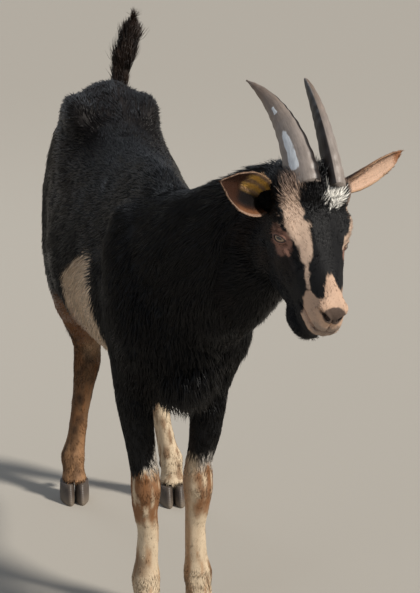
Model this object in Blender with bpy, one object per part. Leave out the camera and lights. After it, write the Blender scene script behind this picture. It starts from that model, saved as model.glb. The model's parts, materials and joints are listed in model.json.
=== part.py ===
"""A life-size standing goat with scimitar horns, as a museum model in named pieces.

The body is modelled whole from tubes and muscle masses, run together, and then parted
with thin cuts. The goat faces -Y with its left side at +X, and stands on the plane z = 0.
Body sizes are in centimetres, as an animal is measured, and CM turns them into metres.
"""

import math

import bmesh
import bpy
import numpy as np
from mathutils import Matrix, Vector

CM = 0.01
GAP = 0.03 * CM  # clearance left between neighbouring pieces
STEPS = 4  # rings laid between two measured sections

# Driving dimensions of the animal, in centimetres, coat included.
WITHERS = 59.4
CHEST_FLOOR = 30.6
BARREL_HALF_WIDTH = 11.6
KNEE_HEIGHT = 18.3
HOCK_HEIGHT = 21.6
FETLOCK_HEIGHT = 6.5
HOOF_HEIGHT = 2.9
HORN_LENGTH = 16.0
EAR_LENGTH = 9.2
EYE_RADIUS = 1.3

# Where each hoof stands: across the body, then along it. The rump is swung to the goat's right.
FORE_FEET = {"right": (-3.5, -20.2), "left": (3.3, -19.4)}
HIND_FEET = {"right": (-8.1, 27.6), "left": (6.2, 24.2)}
STIFLES = {"right": -8.6, "left": 4.4}
HOCKS = {"right": -5.6, "left": 3.5}
RUMP_SWING = -3.0
SIDES = {"right": -1, "left": 1}

# An ear's root, direction, way of opening, half width, and how far it curls at root and tip.
# The right one is turned forward and spread, and the left one is held out flat.
EARS = {
    "right": ((-4.6, -4.2, 0.6), (-0.70, 0.48, 0.53), (0.68, 0.69, 0.27), 2.75, 112, 62),
    "left": ((3.9, -5.2, 2.3), (0.86, -0.24, 0.39), (0.17, 0.90, 0.15), 1.5, 128, 60),
}
# A horn's foot, its lean at foot and tip in degrees, its spread at the foot and what that gains
# by the tip, its twist in degrees, its half depth and half width, and how early it thins.
HORNS = {
    "right": ((-1.44, -3.35, 5.0), (22.5, -18.5), (-0.05, -0.19), -26.5, 2.12, 1.24, 0.79),
    "left": ((2.3, -3.0, 5.1), (24.5, -12.0), (-0.05, 0.17), -22.5, 2.40, 1.08, 0.53),
}

# The head's own frame sits between the brows: x to its left, y to the nose, z out of the brow.
HEAD_AT = Vector((12.0, -41.9, 56.2))
HEAD_YAW, HEAD_PITCH, HEAD_ROLL = (math.radians(a) for a in (6.2, 28, -11))
HEAD_SCALE = 1.047

COLOURS = {
    "coat": (0.018, 0.016, 0.016, 0.55, 0.0),
    "legs": (0.52, 0.40, 0.28, 0.70, 0.0),
    "ear": (0.40, 0.21, 0.11, 0.65, 0.0),
    "horn": (0.26, 0.22, 0.19, 0.42, 0.0),
    "eye": (0.45, 0.27, 0.10, 0.08, 0.0),
    "hoof": (0.13, 0.10, 0.075, 0.50, 0.0),
}


# ---------------------------------------------------------------- tools


def clear_scene():
    for thing in list(bpy.data.objects):
        bpy.data.objects.remove(thing)


def head_frame():
    """Matrix from the head's frame, in centimetres, to the body's."""
    level = Vector((math.sin(HEAD_YAW), -math.cos(HEAD_YAW), 0))
    left = Vector((math.cos(HEAD_YAW), math.sin(HEAD_YAW), 0))
    nose = level * math.cos(HEAD_PITCH) - Vector((0, 0, 1)) * math.sin(HEAD_PITCH)
    brow = Vector((0, 0, 1)) * math.cos(HEAD_PITCH) + level * math.sin(HEAD_PITCH)
    rolled_left = left * math.cos(HEAD_ROLL) + brow * math.sin(HEAD_ROLL)
    rolled_brow = brow * math.cos(HEAD_ROLL) - left * math.sin(HEAD_ROLL)
    turn = Matrix((rolled_left, nose, rolled_brow)).transposed() * HEAD_SCALE
    return Matrix.Translation(HEAD_AT) @ turn.to_4x4()


def eased(rows, steps=STEPS):
    """The measured rows with a smooth curve's rows laid between them (Catmull-Rom)."""
    rows = np.array(rows, float)
    padded = np.vstack([2 * rows[0] - rows[1], rows, 2 * rows[-1] - rows[-2]])
    made = []
    for i in range(1, len(padded) - 2):
        before, start, end, after = padded[i - 1 : i + 3]
        for t in np.arange(steps) / steps:
            made.append(
                0.5
                * (
                    2 * start
                    + (end - before) * t
                    + (2 * before - 5 * start + 4 * end - after) * t**2
                    + (3 * start - before - 3 * end + after) * t**3
                )
            )
    return made + [rows[-1]]


def oval(centre, side, rise, half, up, down, count=28, pinch=0.0, power=2.0):
    """A ring of points: half wide, up above its centre and down below, narrowed by pinch at the top."""
    ring = []
    for k in range(count):
        angle = 2 * math.pi * k / count
        across, along = math.cos(angle), math.sin(angle)
        across = math.copysign(abs(across) ** (2 / power), across)
        along = math.copysign(abs(along) ** (2 / power), along)
        across *= 1 - pinch * max(0.0, along)
        height = up if along > 0 else down
        ring.append(Vector(centre) + side * (half * across) + rise * (height * along))
    return ring


def tube(name, rings, frame=None):
    """A closed mesh object through rings of points in centimetres, capped at both ends."""
    mesh = bmesh.new()
    loops = [[mesh.verts.new(point * CM) for point in ring] for ring in rings]
    for one, two in zip(loops, loops[1:]):
        for k in range(len(one)):
            after = (k + 1) % len(one)
            mesh.faces.new((one[k], one[after], two[after]))
            mesh.faces.new((one[k], two[after], two[k]))
    mesh.faces.new(loops[0])
    mesh.faces.new(loops[-1])
    return finished(name, mesh, frame)


def ball(name, centre, radii, frame=None, turn=None, segments=20):
    """An ellipsoid of the given radii, in centimetres, turned about its own centre."""
    mesh = bmesh.new()
    bmesh.ops.create_uvsphere(mesh, u_segments=segments, v_segments=segments // 2 + 2, radius=1.0)
    place = Matrix.Translation(Vector(centre) * CM) @ (turn or Matrix.Identity(4))
    place = place @ Matrix.Diagonal((*[r * CM for r in radii], 1))
    bmesh.ops.transform(mesh, matrix=place, verts=mesh.verts)
    return finished(name, mesh, frame)


def finished(name, mesh, frame=None):
    """The bmesh as an object in the scene, its faces pointing out, moved from the head's frame if given."""
    if frame is not None:
        metres = frame.copy()
        metres.translation = frame.translation * CM
        bmesh.ops.transform(mesh, matrix=metres, verts=mesh.verts)
    bmesh.ops.recalc_face_normals(mesh, faces=mesh.faces)
    data = bpy.data.meshes.new(name)
    mesh.to_mesh(data)
    mesh.free()
    thing = bpy.data.objects.new(name, data)
    bpy.context.scene.collection.objects.link(thing)
    return thing


def settled(thing):
    """Applies the object's modifiers to its mesh."""
    graph = bpy.context.evaluated_depsgraph_get()
    data = bpy.data.meshes.new_from_object(thing.evaluated_get(graph))
    thing.modifiers.clear()
    thing.data = data
    return thing


def fused(name, pieces, voxel, rounds):
    """The pieces run together into one skin, whose creases are softened by so many rounds."""
    mesh = bmesh.new()
    for piece in pieces:
        mesh.from_mesh(piece.data)
        bpy.data.objects.remove(piece)
    whole = finished(name, mesh)
    remesh = whole.modifiers.new("run_together", "REMESH")
    remesh.mode = "VOXEL"
    remesh.voxel_size = voxel * CM
    soften = whole.modifiers.new("soften", "SMOOTH")
    soften.factor = 0.5
    soften.iterations = rounds
    return settled(whole)


def copied(thing, name):
    twin = bpy.data.objects.new(name, thing.data.copy())
    bpy.context.scene.collection.objects.link(twin)
    return twin


def thinned(thing, triangles):
    """Decimates the mesh to about so many triangles."""
    thing.data.calc_loop_triangles()
    thin = thing.modifiers.new("thin", "DECIMATE")
    thin.ratio = triangles / len(thing.data.loop_triangles)
    thin.use_collapse_triangulate = True
    return settled(thing)


def sliced(thing, point, normal):
    """Keeps what lies behind a plane, whose normal points at what goes, and caps the cut."""
    mesh = bmesh.new()
    mesh.from_mesh(thing.data)
    faces = mesh.verts[:] + mesh.edges[:] + mesh.faces[:]
    bmesh.ops.bisect_plane(
        mesh, geom=faces, plane_co=point, plane_no=normal, clear_outer=True, dist=1e-6
    )
    rim = [edge for edge in mesh.edges if edge.is_boundary]
    caps = bmesh.ops.holes_fill(mesh, edges=rim, sides=0)["faces"]
    bmesh.ops.triangulate(mesh, faces=caps)
    bmesh.ops.dissolve_degenerate(mesh, dist=1e-6, edges=mesh.edges)
    bmesh.ops.recalc_face_normals(mesh, faces=mesh.faces)
    mesh.to_mesh(thing.data)
    mesh.free()
    return thing


def carved(thing, cutter, operation="DIFFERENCE"):
    """The object less the cutter, or what it shares with it. The cutter is used up."""
    cut = thing.modifiers.new("cut", "BOOLEAN")
    cut.operation = operation
    cut.object = cutter
    settled(thing)
    bpy.data.objects.remove(cutter)
    return kept(thing)


def loose_bodies(mesh):
    """The sets of joined vertices of a bmesh."""
    seen, bodies = set(), []
    for start in mesh.verts:
        if start in seen:
            continue
        body, edge = {start}, [start]
        while edge:
            for link in edge.pop().link_edges:
                for vert in link.verts:
                    if vert not in body:
                        body.add(vert)
                        edge.append(vert)
        seen |= body
        bodies.append(body)
    return bodies


def kept(thing, spot=None):
    """Drops all but the biggest body, or all but the one whose middle is nearest to a spot."""
    mesh = bmesh.new()
    mesh.from_mesh(thing.data)
    bmesh.ops.remove_doubles(mesh, verts=mesh.verts, dist=1e-6)

    def worth(body):
        if spot is None:
            return len(body)
        middle = sum((vert.co for vert in body), Vector()) / len(body)
        return -(middle - spot).length

    keep = max(loose_bodies(mesh), key=worth)
    bmesh.ops.delete(mesh, geom=[v for v in mesh.verts if v not in keep], context="VERTS")
    mesh.to_mesh(thing.data)
    mesh.free()
    return thing


def leg_ring(row, grow=0.0, count=28):
    """A level ring of a leg from its row: x, y, z, half width, half length."""
    x, y, z, half, length = row
    side, ahead = Vector((1, 0, 0)), Vector((0, 1, 0))
    return oval((x, y, z), side, ahead, half + grow, length + grow, length + grow, count)


# ---------------------------------------------------------------- the body's masses


def trunk():
    """Brisket to buttocks: level sections along the spine."""
    floor, top, wide, swing = CHEST_FLOOR, WITHERS, BARREL_HALF_WIDTH, RUMP_SWING
    rows = [
        # x, y, lowest, highest, half width, height of the widest, pinch
        (0.8, -28.6, floor + 7.5, top - 15.0, 2.6, 41.5, 0.00),  # front of the brisket
        (0.9, -26.6, floor + 3.4, top - 9.5, 6.1, 41.5, 0.15),
        (0.9, -22.5, floor + 1.0, top - 4.4, 7.9, 42.0, 0.35),  # points of the shoulder
        (0.3, -17.0, floor + 0.4, top - 1.4, 8.2, 42.5, 0.50),
        (-0.4, -11.0, floor, top - 0.3, 9.1, 42.5, 0.55),  # withers, and the girth behind the elbow
        (-1.0, -3.0, floor - 0.4, top - 0.9, 10.5, 43.0, 0.50),
        (-1.6, 5.0, floor - 0.2, top - 0.6, wide, 43.5, 0.44),  # widest rib of the barrel
        (-2.1, 12.0, floor + 1.6, top + 1.2, wide - 0.8, 45.0, 0.34),  # flank
        (swing + 0.2, 18.5, floor + 5.0, top + 3.8, wide - 2.4, 48.5, 0.16),  # hips
        (swing + 0.5, 25.0, floor + 10.5, top + 4.2, wide - 4.0, 50.5, 0.14),  # croup
        (swing + 1.5, 30.0, floor + 14.5, top + 1.8, wide - 6.0, 51.5, 0.15),
        (swing + 2.4, 33.0, floor + 18.0, top - 3.4, wide - 8.6, 52.5, 0.00),  # buttocks
    ]
    rings = [
        oval((x, y, mid), Vector((1, 0, 0)), Vector((0, 0, 1)), half, high - mid, mid - low,
             count=40, pinch=pinch, power=2.15)
        for x, y, low, high, half, mid, pinch in eased(rows)
    ]  # fmt: skip
    masses = [tube("trunk_form", rings)]
    for sign in SIDES.values():
        masses += [
            ball("hook_bone", (swing + sign * 4.9, 18.5, top + 0.5), (2.3, 6.4, 2.8)),
            ball("pin_bone", (swing + 1.3 + sign * 3.2, 30.4, top - 2.4), (2.4, 3.2, 3.2)),
            ball("shoulder_blade", (sign * 5.4, -15.5, 47.0), (2.4, 6.4, 7.6)),
        ]
    masses.append(ball("brisket", (0.8, -22.0, floor + 3.2), (4.5, 6.4, 4.1)))
    return masses


def neck():
    """From the shoulders up to the nape, bending to the goat's left to carry the turned head."""
    rows = [
        # x, y, z of the middle, half width, height above, depth below
        (0.0, -15.0, 46.4, 7.6, 11.2, 12.6),
        (1.0, -20.8, 48.2, 7.3, 9.2, 12.8),
        (3.9, -26.4, 51.0, 6.8, 7.8, 11.8),
        (7.1, -31.0, 54.2, 5.7, 7.1, 9.8),
        (10.0, -34.6, 56.8, 4.8, 6.4, 7.4),
        (12.0, -37.6, 57.6, 4.2, 6.0, 6.0),
    ]
    rows = eased(rows)
    rings = []
    for i, (x, y, z, half, up, down) in enumerate(rows):
        ahead, behind = rows[min(i + 1, len(rows) - 1)][:3], rows[max(i - 1, 0)][:3]
        along = Vector(ahead - behind).normalized()
        side = along.cross(Vector((0, 0, 1))).normalized()
        rise = side.cross(along)
        rings.append(oval((x, y, z), side, rise, half, up, down, count=32, pinch=0.22))
    return [tube("neck_form", rings)]


def foreleg_rows(side):
    """Sections of a foreleg from the shoulder blade down to the coronet."""
    sign = SIDES[side]
    x, y = FORE_FEET[side]
    knee, fetlock, floor = KNEE_HEIGHT, FETLOCK_HEIGHT, HOOF_HEIGHT
    return [
        # x, y, z, half width, half length
        (sign * 5.0 + 0.1, -14.5, 53.0, 1.8, 4.0),
        (sign * 6.1 + 0.3, -16.6, 49.0, 2.5, 6.0),
        (sign * 6.6 + 0.8, -18.6, 43.5, 2.8, 7.0),
        (sign * 6.5 + 0.9, -19.4, 38.5, 2.8, 6.8),
        (sign * 5.5 + 0.4, -18.9, 34.0, 2.7, 5.4),  # elbow
        (sign * 4.8, -18.9, 30.0, 2.45, 3.9),
        (sign * 4.2, -19.6, 25.6, 2.2, 2.9),  # forearm
        (x * 1.04, y + 0.2, knee + 3.0, 1.95, 2.2),
        (x, y, knee, 2.1, 2.3),
        (x, y + 0.35, knee - 3.0, 1.75, 1.9),
        (x * 0.9, y + 0.5, (knee + fetlock) / 2, 1.5, 1.65),  # cannon
        (x * 0.96, y + 0.5, fetlock + 1.9, 1.65, 1.9),
        (x, y + 0.35, fetlock, 2.0, 2.25),
        (x, y - 0.35, fetlock - 2.2, 1.8, 2.0),  # pastern
        (x, y - 0.8, floor, 2.15, 2.4),
        (x, y - 0.9, floor - 0.8, 2.15, 2.4),
    ]


def hindleg_rows(side):
    """Sections of a hind leg from the hip down to the coronet."""
    sign, stifle, bend = SIDES[side], STIFLES[side], HOCKS[side]
    x, y = HIND_FEET[side]
    hock, fetlock, floor, swing = HOCK_HEIGHT, FETLOCK_HEIGHT, HOOF_HEIGHT, RUMP_SWING
    return [
        # x, y, z, half width, half length
        (swing + sign * 4.2, 21.4, 58.0, 3.0, 6.6),
        (swing + sign * 4.8, 22.0, 52.5, 3.9, 9.4),
        (swing + sign * 5.3, 21.6, 46.5, 4.3, 10.2),
        (stifle * 0.6 + (swing + sign * 5.4) * 0.4, 20.2, 40.5, 4.3, 9.2),
        (stifle, 19.8, 36.0, 3.8, 7.6),
        (stifle * 0.75 + bend * 0.25, 21.4, 31.6, 3.4, 5.6),  # gaskin
        (stifle * 0.35 + bend * 0.65, (y + 24.0) / 2, 27.4, 2.8, 4.0),
        (bend, y + 1.0, hock + 1.9, 2.2, 3.0),
        (bend, y + 1.6, hock - 1.0, 2.2, 2.75),
        (bend * 0.8 + x * 0.2, y + 1.3, hock - 4.2, 1.8, 2.15),
        (bend * 0.5 + x * 0.5, y + 1.0, (hock + fetlock) / 2 - 1.0, 1.5, 1.7),  # cannon
        (bend * 0.2 + x * 0.8, y + 0.7, fetlock + 2.0, 1.6, 1.85),
        (x, y + 0.4, fetlock, 1.95, 2.2),
        (x, y - 0.5, fetlock - 2.2, 1.75, 1.95),  # pastern
        (x, y - 1.0, floor, 2.15, 2.4),
        (x, y - 1.1, floor - 0.8, 2.15, 2.4),
    ]


def hock_point(side):
    """The heel bone that stands out behind the hock, and the tendon above it."""
    x, y = HOCKS[side], HIND_FEET[side][1]
    out = SIDES[side]
    return [
        ball("heel_bone", (x, y + 4.0, HOCK_HEIGHT + 1.4), (1.15, 1.35, 2.0)),
        tube("heel_tendon", [
            leg_ring(row)
            for row in eased([
                (x, y + 4.3, HOCK_HEIGHT + 0.4, 0.8, 0.9),
                (x + out * 0.8, y + 3.4, HOCK_HEIGHT + 5.2, 0.8, 0.9),
                (x + out * 1.8, y + 1.2, HOCK_HEIGHT + 10.5, 1.3, 1.6),
            ])
        ]),
    ]  # fmt: skip


def leg_form(rows):
    return tube("leg_form", [leg_ring(row) for row in eased(rows)])


def sleeve(rows, grow):
    """A coarser tube round an upper leg, that parts it from the trunk."""
    rings = [leg_ring(row, grow, 10) for row in rows[:10]]
    rings[0] = [point + Vector((0, 0, grow)) for point in rings[0]]
    return tube("sleeve", rings)


def skull_and_jaw(frame):
    """The head in its own frame: sections from the nape to the nose, with cheeks, brows and lips."""
    rows = [
        # y, lowest, highest, half width, height of the widest, pinch
        (-8.6, -5.6, 2.4, 2.9, -1.0, 0.10),
        (-6.8, -7.2, 3.8, 3.8, -0.8, 0.12),  # poll
        (-4.0, -8.0, 4.4, 4.1, -0.4, 0.12),
        (-1.4, -7.8, 4.2, 4.2, 0.4, 0.10),  # brow
        (1.0, -7.6, 3.5, 4.0, 0.6, 0.12),
        (3.2, -7.2, 2.7, 3.65, -0.2, 0.18),
        (5.6, -6.7, 1.9, 3.1, -0.8, 0.24),  # bridge of the nose
        (7.6, -6.3, 1.4, 2.6, -1.4, 0.24),
        (9.2, -6.2, 1.0, 2.15, -2.2, 0.20),
        (10.6, -5.4, 0.5, 1.9, -2.2, 0.12),
        (11.6, -4.4, -0.2, 1.55, -2.2, 0.05),
        (12.3, -3.2, -1.0, 0.9, -2.1, 0.00),  # nose
    ]
    rings = [
        oval((0, y, mid), Vector((1, 0, 0)), Vector((0, 0, 1)), half, high - mid, mid - low,
             count=32, pinch=pinch, power=2.2)
        for y, low, high, half, mid, pinch in eased(rows)
    ]  # fmt: skip
    masses = [tube("skull_form", rings, frame)]
    masses.append(ball("chin", (-0.45, 7.6, -5.8), (2.0, 3.1, 1.55), frame))
    masses.append(ball("brow_crest", (0, -3.0, 3.8), (3.4, 3.3, 2.5), frame))
    masses.append(ball("forelock", (2.3, -1.6, 4.2), (1.5, 1.8, 1.7), frame))
    for side, sign in SIDES.items():
        masses += [
            ball("cheek", (sign * 2.7, -2.4, -3.6), (1.7, 3.6, 3.6), frame),
            ball("brow", (sign * 3.3, 0.0, 1.5), (1.5, 2.7, 1.5), frame),
            ball("temple", (sign * 2.8, -2.6, 3.3), (1.9, 2.3, 1.8), frame),
            ball("cheek_bone", (sign * 2.9, 2.6, -1.3), (1.1, 2.8, 1.0), frame),
            ball("nostril_wing", (sign * 0.85, 11.0, -0.8), (0.95, 1.3, 1.1), frame),
            ball("upper_lip", (sign * 0.9, 10.6, -3.2), (1.1, 1.7, 1.3), frame),
            ball("ear_base", Vector(EARS[side][0]) - Vector((sign * 0.2, 0.6, 0.1)), (1.4, 1.7, 1.7), frame),
        ]
    return masses


# ---------------------------------------------------------------- horns, ears, eyes, tail and hooves


def horn_rings(side, grow=0.0):
    """A scimitar horn that leaves the brow and bends back, its flat outer side turned forward."""
    foot, leans, (spread_foot, spread_gain), twist, deep, wide, thinning = HORNS[side]
    start, end = (math.radians(angle) for angle in leans)
    twist = math.radians(twist)
    sign, sunk, count = SIDES[side], 0.10, 9
    outward = Vector((sign, 0, 0))
    at = Vector(foot)
    rings = []
    for k in range(count + 1):
        share = k / count * (1 + sunk) - sunk
        lean = start + (end - start) * max(share, 0.0)
        spread = spread_foot + spread_gain * max(share, 0.0)
        along = Vector((spread, -math.cos(lean), math.sin(lean))).normalized()
        if k == 0:
            at = at - along * HORN_LENGTH * sunk
        else:
            at = at + along * (HORN_LENGTH * (1 + sunk) / count)
        taper = max(0.12, (1 - max(share, 0.0)) ** thinning)
        across = (outward - along * outward.dot(along)).normalized()
        front = along.cross(across) * -sign
        keel = front * math.cos(twist) - across * math.sin(twist)
        flat = across * math.cos(twist) + front * math.sin(twist)
        half, depth = wide * taper + grow, deep * taper + grow
        middle = at - along * grow if k == 0 else at
        rings.append(oval(middle, flat, keel, half, depth, depth, count=12, power=2.3))
    return rings




def ear_rings(side):
    """A leaf-shaped cup: each ring runs along the back of the shell and returns inside it."""
    root, along, opening = (Vector(axis) for axis in EARS[side][:3])
    wide, curl_root, curl_tip = EARS[side][3:]
    along = along.normalized()
    opening = (opening - along * opening.dot(along)).normalized()
    across = along.cross(opening)
    count, points, thick, sunk = 9, 6, 0.32, 0.9
    rings = []
    for k in range(count + 1):
        share = k / count
        half = 0.35 + wide * math.sin(math.pi * (share * 0.81 + 0.15)) ** 0.8
        curl = math.radians(curl_root + (curl_tip - curl_root) * min(1.0, share * 1.5))
        radius = half / curl
        hollow = min(1.0, share * 3.2)
        droop = opening * (-0.9 * share**2)
        middle = root + along * (EAR_LENGTH * share - sunk * (1 - share)) + droop
        angles = [curl * (2 * j / points - 1) for j in range(points + 1)]
        back = [
            middle + across * radius * math.sin(a) + opening * radius * (1 - math.cos(a))
            for a in angles
        ]
        inner = max(radius - thick, 0.1)
        shell = [
            middle + across * inner * math.sin(a) + opening * (radius - inner * math.cos(a))
            for a in angles[1:-1]
        ]
        chord = [
            back[0].lerp(back[-1], (j + 1) / points) + opening * 0.05 for j in range(points - 1)
        ]
        inside = [flat.lerp(deep, hollow) for flat, deep in zip(chord, shell)]
        rings.append(back + inside[::-1])
    return rings


def ear_pocket(side, frame):
    """The cutter that makes room in the head for an ear's root, a little wider than the ear."""
    rings = []
    for ring in ear_rings(side)[:6]:
        outline = ring[:7]
        middle = sum(outline, Vector()) / len(outline)
        rings.append([point + (point - middle).normalized() * 0.07 for point in outline])
    below = (rings[0][3] - rings[1][3]).normalized() * 0.05
    rings[0] = [point + below for point in rings[0]]
    return tube("ear_pocket", rings, frame)


def eye_ball(name, sign, frame, grow=0.0):
    return ball(name, (sign * 2.95, 1.6, 0.25), [EYE_RADIUS + grow] * 3, frame, segments=14)


TAIL_ROWS = [
    # x, y, z of the middle, half width, half thickness
    (-0.6, 28.6, 56.6, 1.2, 1.2),
    (-0.1, 31.6, 59.4, 1.3, 1.2),
    (0.3, 32.9, 62.2, 1.5, 1.15),
    (1.0, 33.0, 65.4, 1.8, 1.05),
    (1.8, 32.4, 68.6, 1.5, 0.8),
    (2.2, 31.6, 71.6, 0.4, 0.25),
]


def tail_rings(grow=0.0):
    """A short tail carried upright, its brush widest past the middle."""
    rows = eased(TAIL_ROWS, 2)
    rings = []
    for i, (x, y, z, half, thick) in enumerate(rows):
        along = Vector(rows[min(i + 1, len(rows) - 1)][:3] - rows[max(i - 1, 0)][:3]).normalized()
        side = (Vector((1, 0, 0)) - along * along.x).normalized()
        rings.append(
            oval((x, y, z), side, side.cross(along), half + grow, thick + grow, thick + grow, count=12)
        )
    return rings


def claw(name, foot, sign):
    """One of a foot's two claws: a flat sole, a sloping front wall and a rounded heel."""
    x, y = foot
    split, lean = 1.12, 1.3
    rings = []
    for height, width, toe, heel in ((0, 1.0, 3.1, 2.1), (0.5, 1.05, 3.05, 2.2),
                                     (1.6, 1.05, 2.55, 2.15), (HOOF_HEIGHT - 0.03, 0.98, 1.9, 2.0)):  # fmt: skip
        middle = Vector((x + sign * split, y - lean, height))
        ring = []
        for point in oval(middle, Vector((1, 0, 0)), Vector((0, -1, 0)), width, toe, heel, count=12, power=2.5):
            ahead = max(0.0, (middle.y - point.y) / toe)
            point.x = middle.x + (point.x - middle.x) * (1 - 0.45 * ahead**2) - sign * 0.25 * ahead
            ring.append(point)
        rings.append(ring)
    return tube(name, rings)


def dewclaw(name, foot, sign, grow=0.0):
    """The small false claw behind the fetlock."""
    x, y = foot
    turn = Matrix.Rotation(math.radians(-28), 4, "X")
    centre = (x + sign * 0.95, y + 2.35, FETLOCK_HEIGHT - 1.7)
    return ball(name, centre, (0.55 + grow, 0.62 + grow, 0.95 + grow), turn=turn, segments=8)


# ---------------------------------------------------------------- the animal, parted


def whole_animal(frame):
    """The body in one skin: the heavy masses run together first, then the head and lower legs."""
    masses = trunk() + neck()
    for side in SIDES:
        masses += [leg_form(foreleg_rows(side)[:8]), leg_form(hindleg_rows(side)[:8])]
    body = fused("body", masses, 0.8, 14)
    fine = [body] + skull_and_jaw(frame)
    for side in SIDES:
        fine += [leg_form(foreleg_rows(side)[5:]), leg_form(hindleg_rows(side)[5:])]
        fine += hock_point(side)
    return fused("whole", fine, 0.4, 5)


def head_piece(forepart, frame, nape, to_nose):
    """The head, with pockets for the horns, ears and eyes."""
    head = thinned(kept(sliced(forepart, nape, -to_nose)), 780)
    head.name = "head"
    for side, sign in SIDES.items():
        carved(head, tube("horn_pocket", horn_rings(side, 0.07)[:5], frame))
        carved(head, eye_ball("eye_pocket", sign, frame, 0.05))
        carved(head, ear_pocket(side, frame))
    return head


def build():
    clear_scene()
    frame = head_frame()
    whole = whole_animal(frame)

    # The neck parts from the shoulders, and the head from the neck behind ears and jaw.
    shoulder = Vector((0.6, -23.6, 50)) * CM
    to_head = Vector((0.15, -0.85, 0.50)).normalized()
    nape = (frame @ Vector((0, -6.6, -1.5))) * CM
    to_nose = Vector((0.30, -0.92, -0.22)).normalized()

    coarse = thinned(copied(whole, "coarse"), 2600)
    forepart = sliced(copied(whole, "forepart"), shoulder + to_head * GAP, -to_head)
    head = head_piece(forepart, frame, nape, to_nose)
    neck_piece = sliced(copied(coarse, "neck"), shoulder + to_head * GAP, -to_head)
    neck_piece = kept(sliced(neck_piece, nape - to_nose * GAP, to_nose), (nape + shoulder) / 2)
    nodes = {"head": (head, "coat"), "neck": (neck_piece, "coat")}

    body = sliced(copied(coarse, "trunk"), shoulder, to_head)
    for pair, rows_of, feet, joint in (
        ("foreleg", foreleg_rows, FORE_FEET, KNEE_HEIGHT + 3.0),
        ("hindleg", hindleg_rows, HIND_FEET, HOCK_HEIGHT - 3.6),
    ):
        for side in SIDES:
            rows = rows_of(side)
            x, y = feet[side]
            upper = carved(
                copied(coarse, f"{pair}_{side}_upper"), sleeve(rows, 0.6), "INTERSECT"
            )
            upper = kept(sliced(upper, Vector((0, 0, joint * CM + GAP)), Vector((0, 0, -1))))
            upper = kept(sliced(upper, shoulder, to_head))
            lower = copied(coarse, f"{pair}_{side}_lower")
            lower = sliced(lower, Vector((0, 0, joint * CM)), Vector((0, 0, 1)))
            lower = kept(lower, Vector((x, y, joint / 2)) * CM)
            lower = sliced(lower, Vector((0, 0, HOOF_HEIGHT * CM)), Vector((0, 0, -1)))
            carved(body, sleeve(rows, 0.6 + GAP / CM))
            nodes[upper.name] = (upper, "coat")
            nodes[lower.name] = (lower, "legs")
            for claw_name, sign in (("outer", SIDES[side]), ("inner", -SIDES[side])):
                name = f"{pair}_{side}_claw_{claw_name}"
                nodes[name] = (claw(name, feet[side], sign), "hoof")
                name = f"{pair}_{side}_dewclaw_{claw_name}"
                carved(lower, dewclaw("pocket", feet[side], sign, 0.05))
                nodes[name] = (dewclaw(name, feet[side], sign), "hoof")
    # The trunk ends above the knees and hocks.
    body = kept(sliced(body, Vector((0, 0, (CHEST_FLOOR - 4) * CM)), Vector((0, 0, -1))))

    tail = tube("tail", tail_rings())
    for holder in [body] + [nodes[f"hindleg_{side}_upper"][0] for side in SIDES]:
        carved(holder, tube("tail_pocket", tail_rings(0.05)))
    nodes["trunk"] = (body, "coat")
    nodes["tail"] = (tail, "coat")
    for side, sign in SIDES.items():
        nodes[f"horn_{side}"] = (tube(f"horn_{side}", horn_rings(side), frame), "horn")
        nodes[f"eye_{side}"] = (eye_ball(f"eye_{side}", sign, frame), "eye")
        nodes[f"ear_{side}"] = (tube(f"ear_{side}", ear_rings(side), frame), "ear")

    for helper in (whole, coarse):
        bpy.data.objects.remove(helper)
    finish(nodes)


def finish(nodes):
    """Colours the pieces and hangs them on one empty, with the model's base centre at the origin."""
    materials = {}
    for name, (red, green, blue, rough, metal) in COLOURS.items():
        material = bpy.data.materials.new(name)
        material.use_nodes = True
        shader = material.node_tree.nodes["Principled BSDF"]
        shader.inputs["Base Color"].default_value = (red, green, blue, 1)
        shader.inputs["Roughness"].default_value = rough
        shader.inputs["Metallic"].default_value = metal
        materials[name] = material
    goat = bpy.data.objects.new("goat", None)
    bpy.context.scene.collection.objects.link(goat)
    corners = np.array([v.co for thing, _ in nodes.values() for v in thing.data.vertices])
    low, high = corners.min(0), corners.max(0)
    goat.location = (-(low[0] + high[0]) / 2, -(low[1] + high[1]) / 2, -low[2])
    for name, (thing, material) in nodes.items():
        thing.name = name
        thing.data.materials.clear()
        thing.data.materials.append(materials[material])
        thing.parent = goat
        thing.data.shade_smooth()


build()
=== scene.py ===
"""A standing goat with scimitar horns: skin, coat, eyes, horns and hooves over its fixed frame.

The goat faces -Y with its left side at +X. Sizes are in centimetres of the animal, as it would be
measured standing, and two small functions turn them into metres of the frame.
"""

import json
import math

import bmesh
import bpy
import numpy as np
from mathutils import Matrix, Vector
from mathutils.bvhtree import BVHTree

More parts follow.
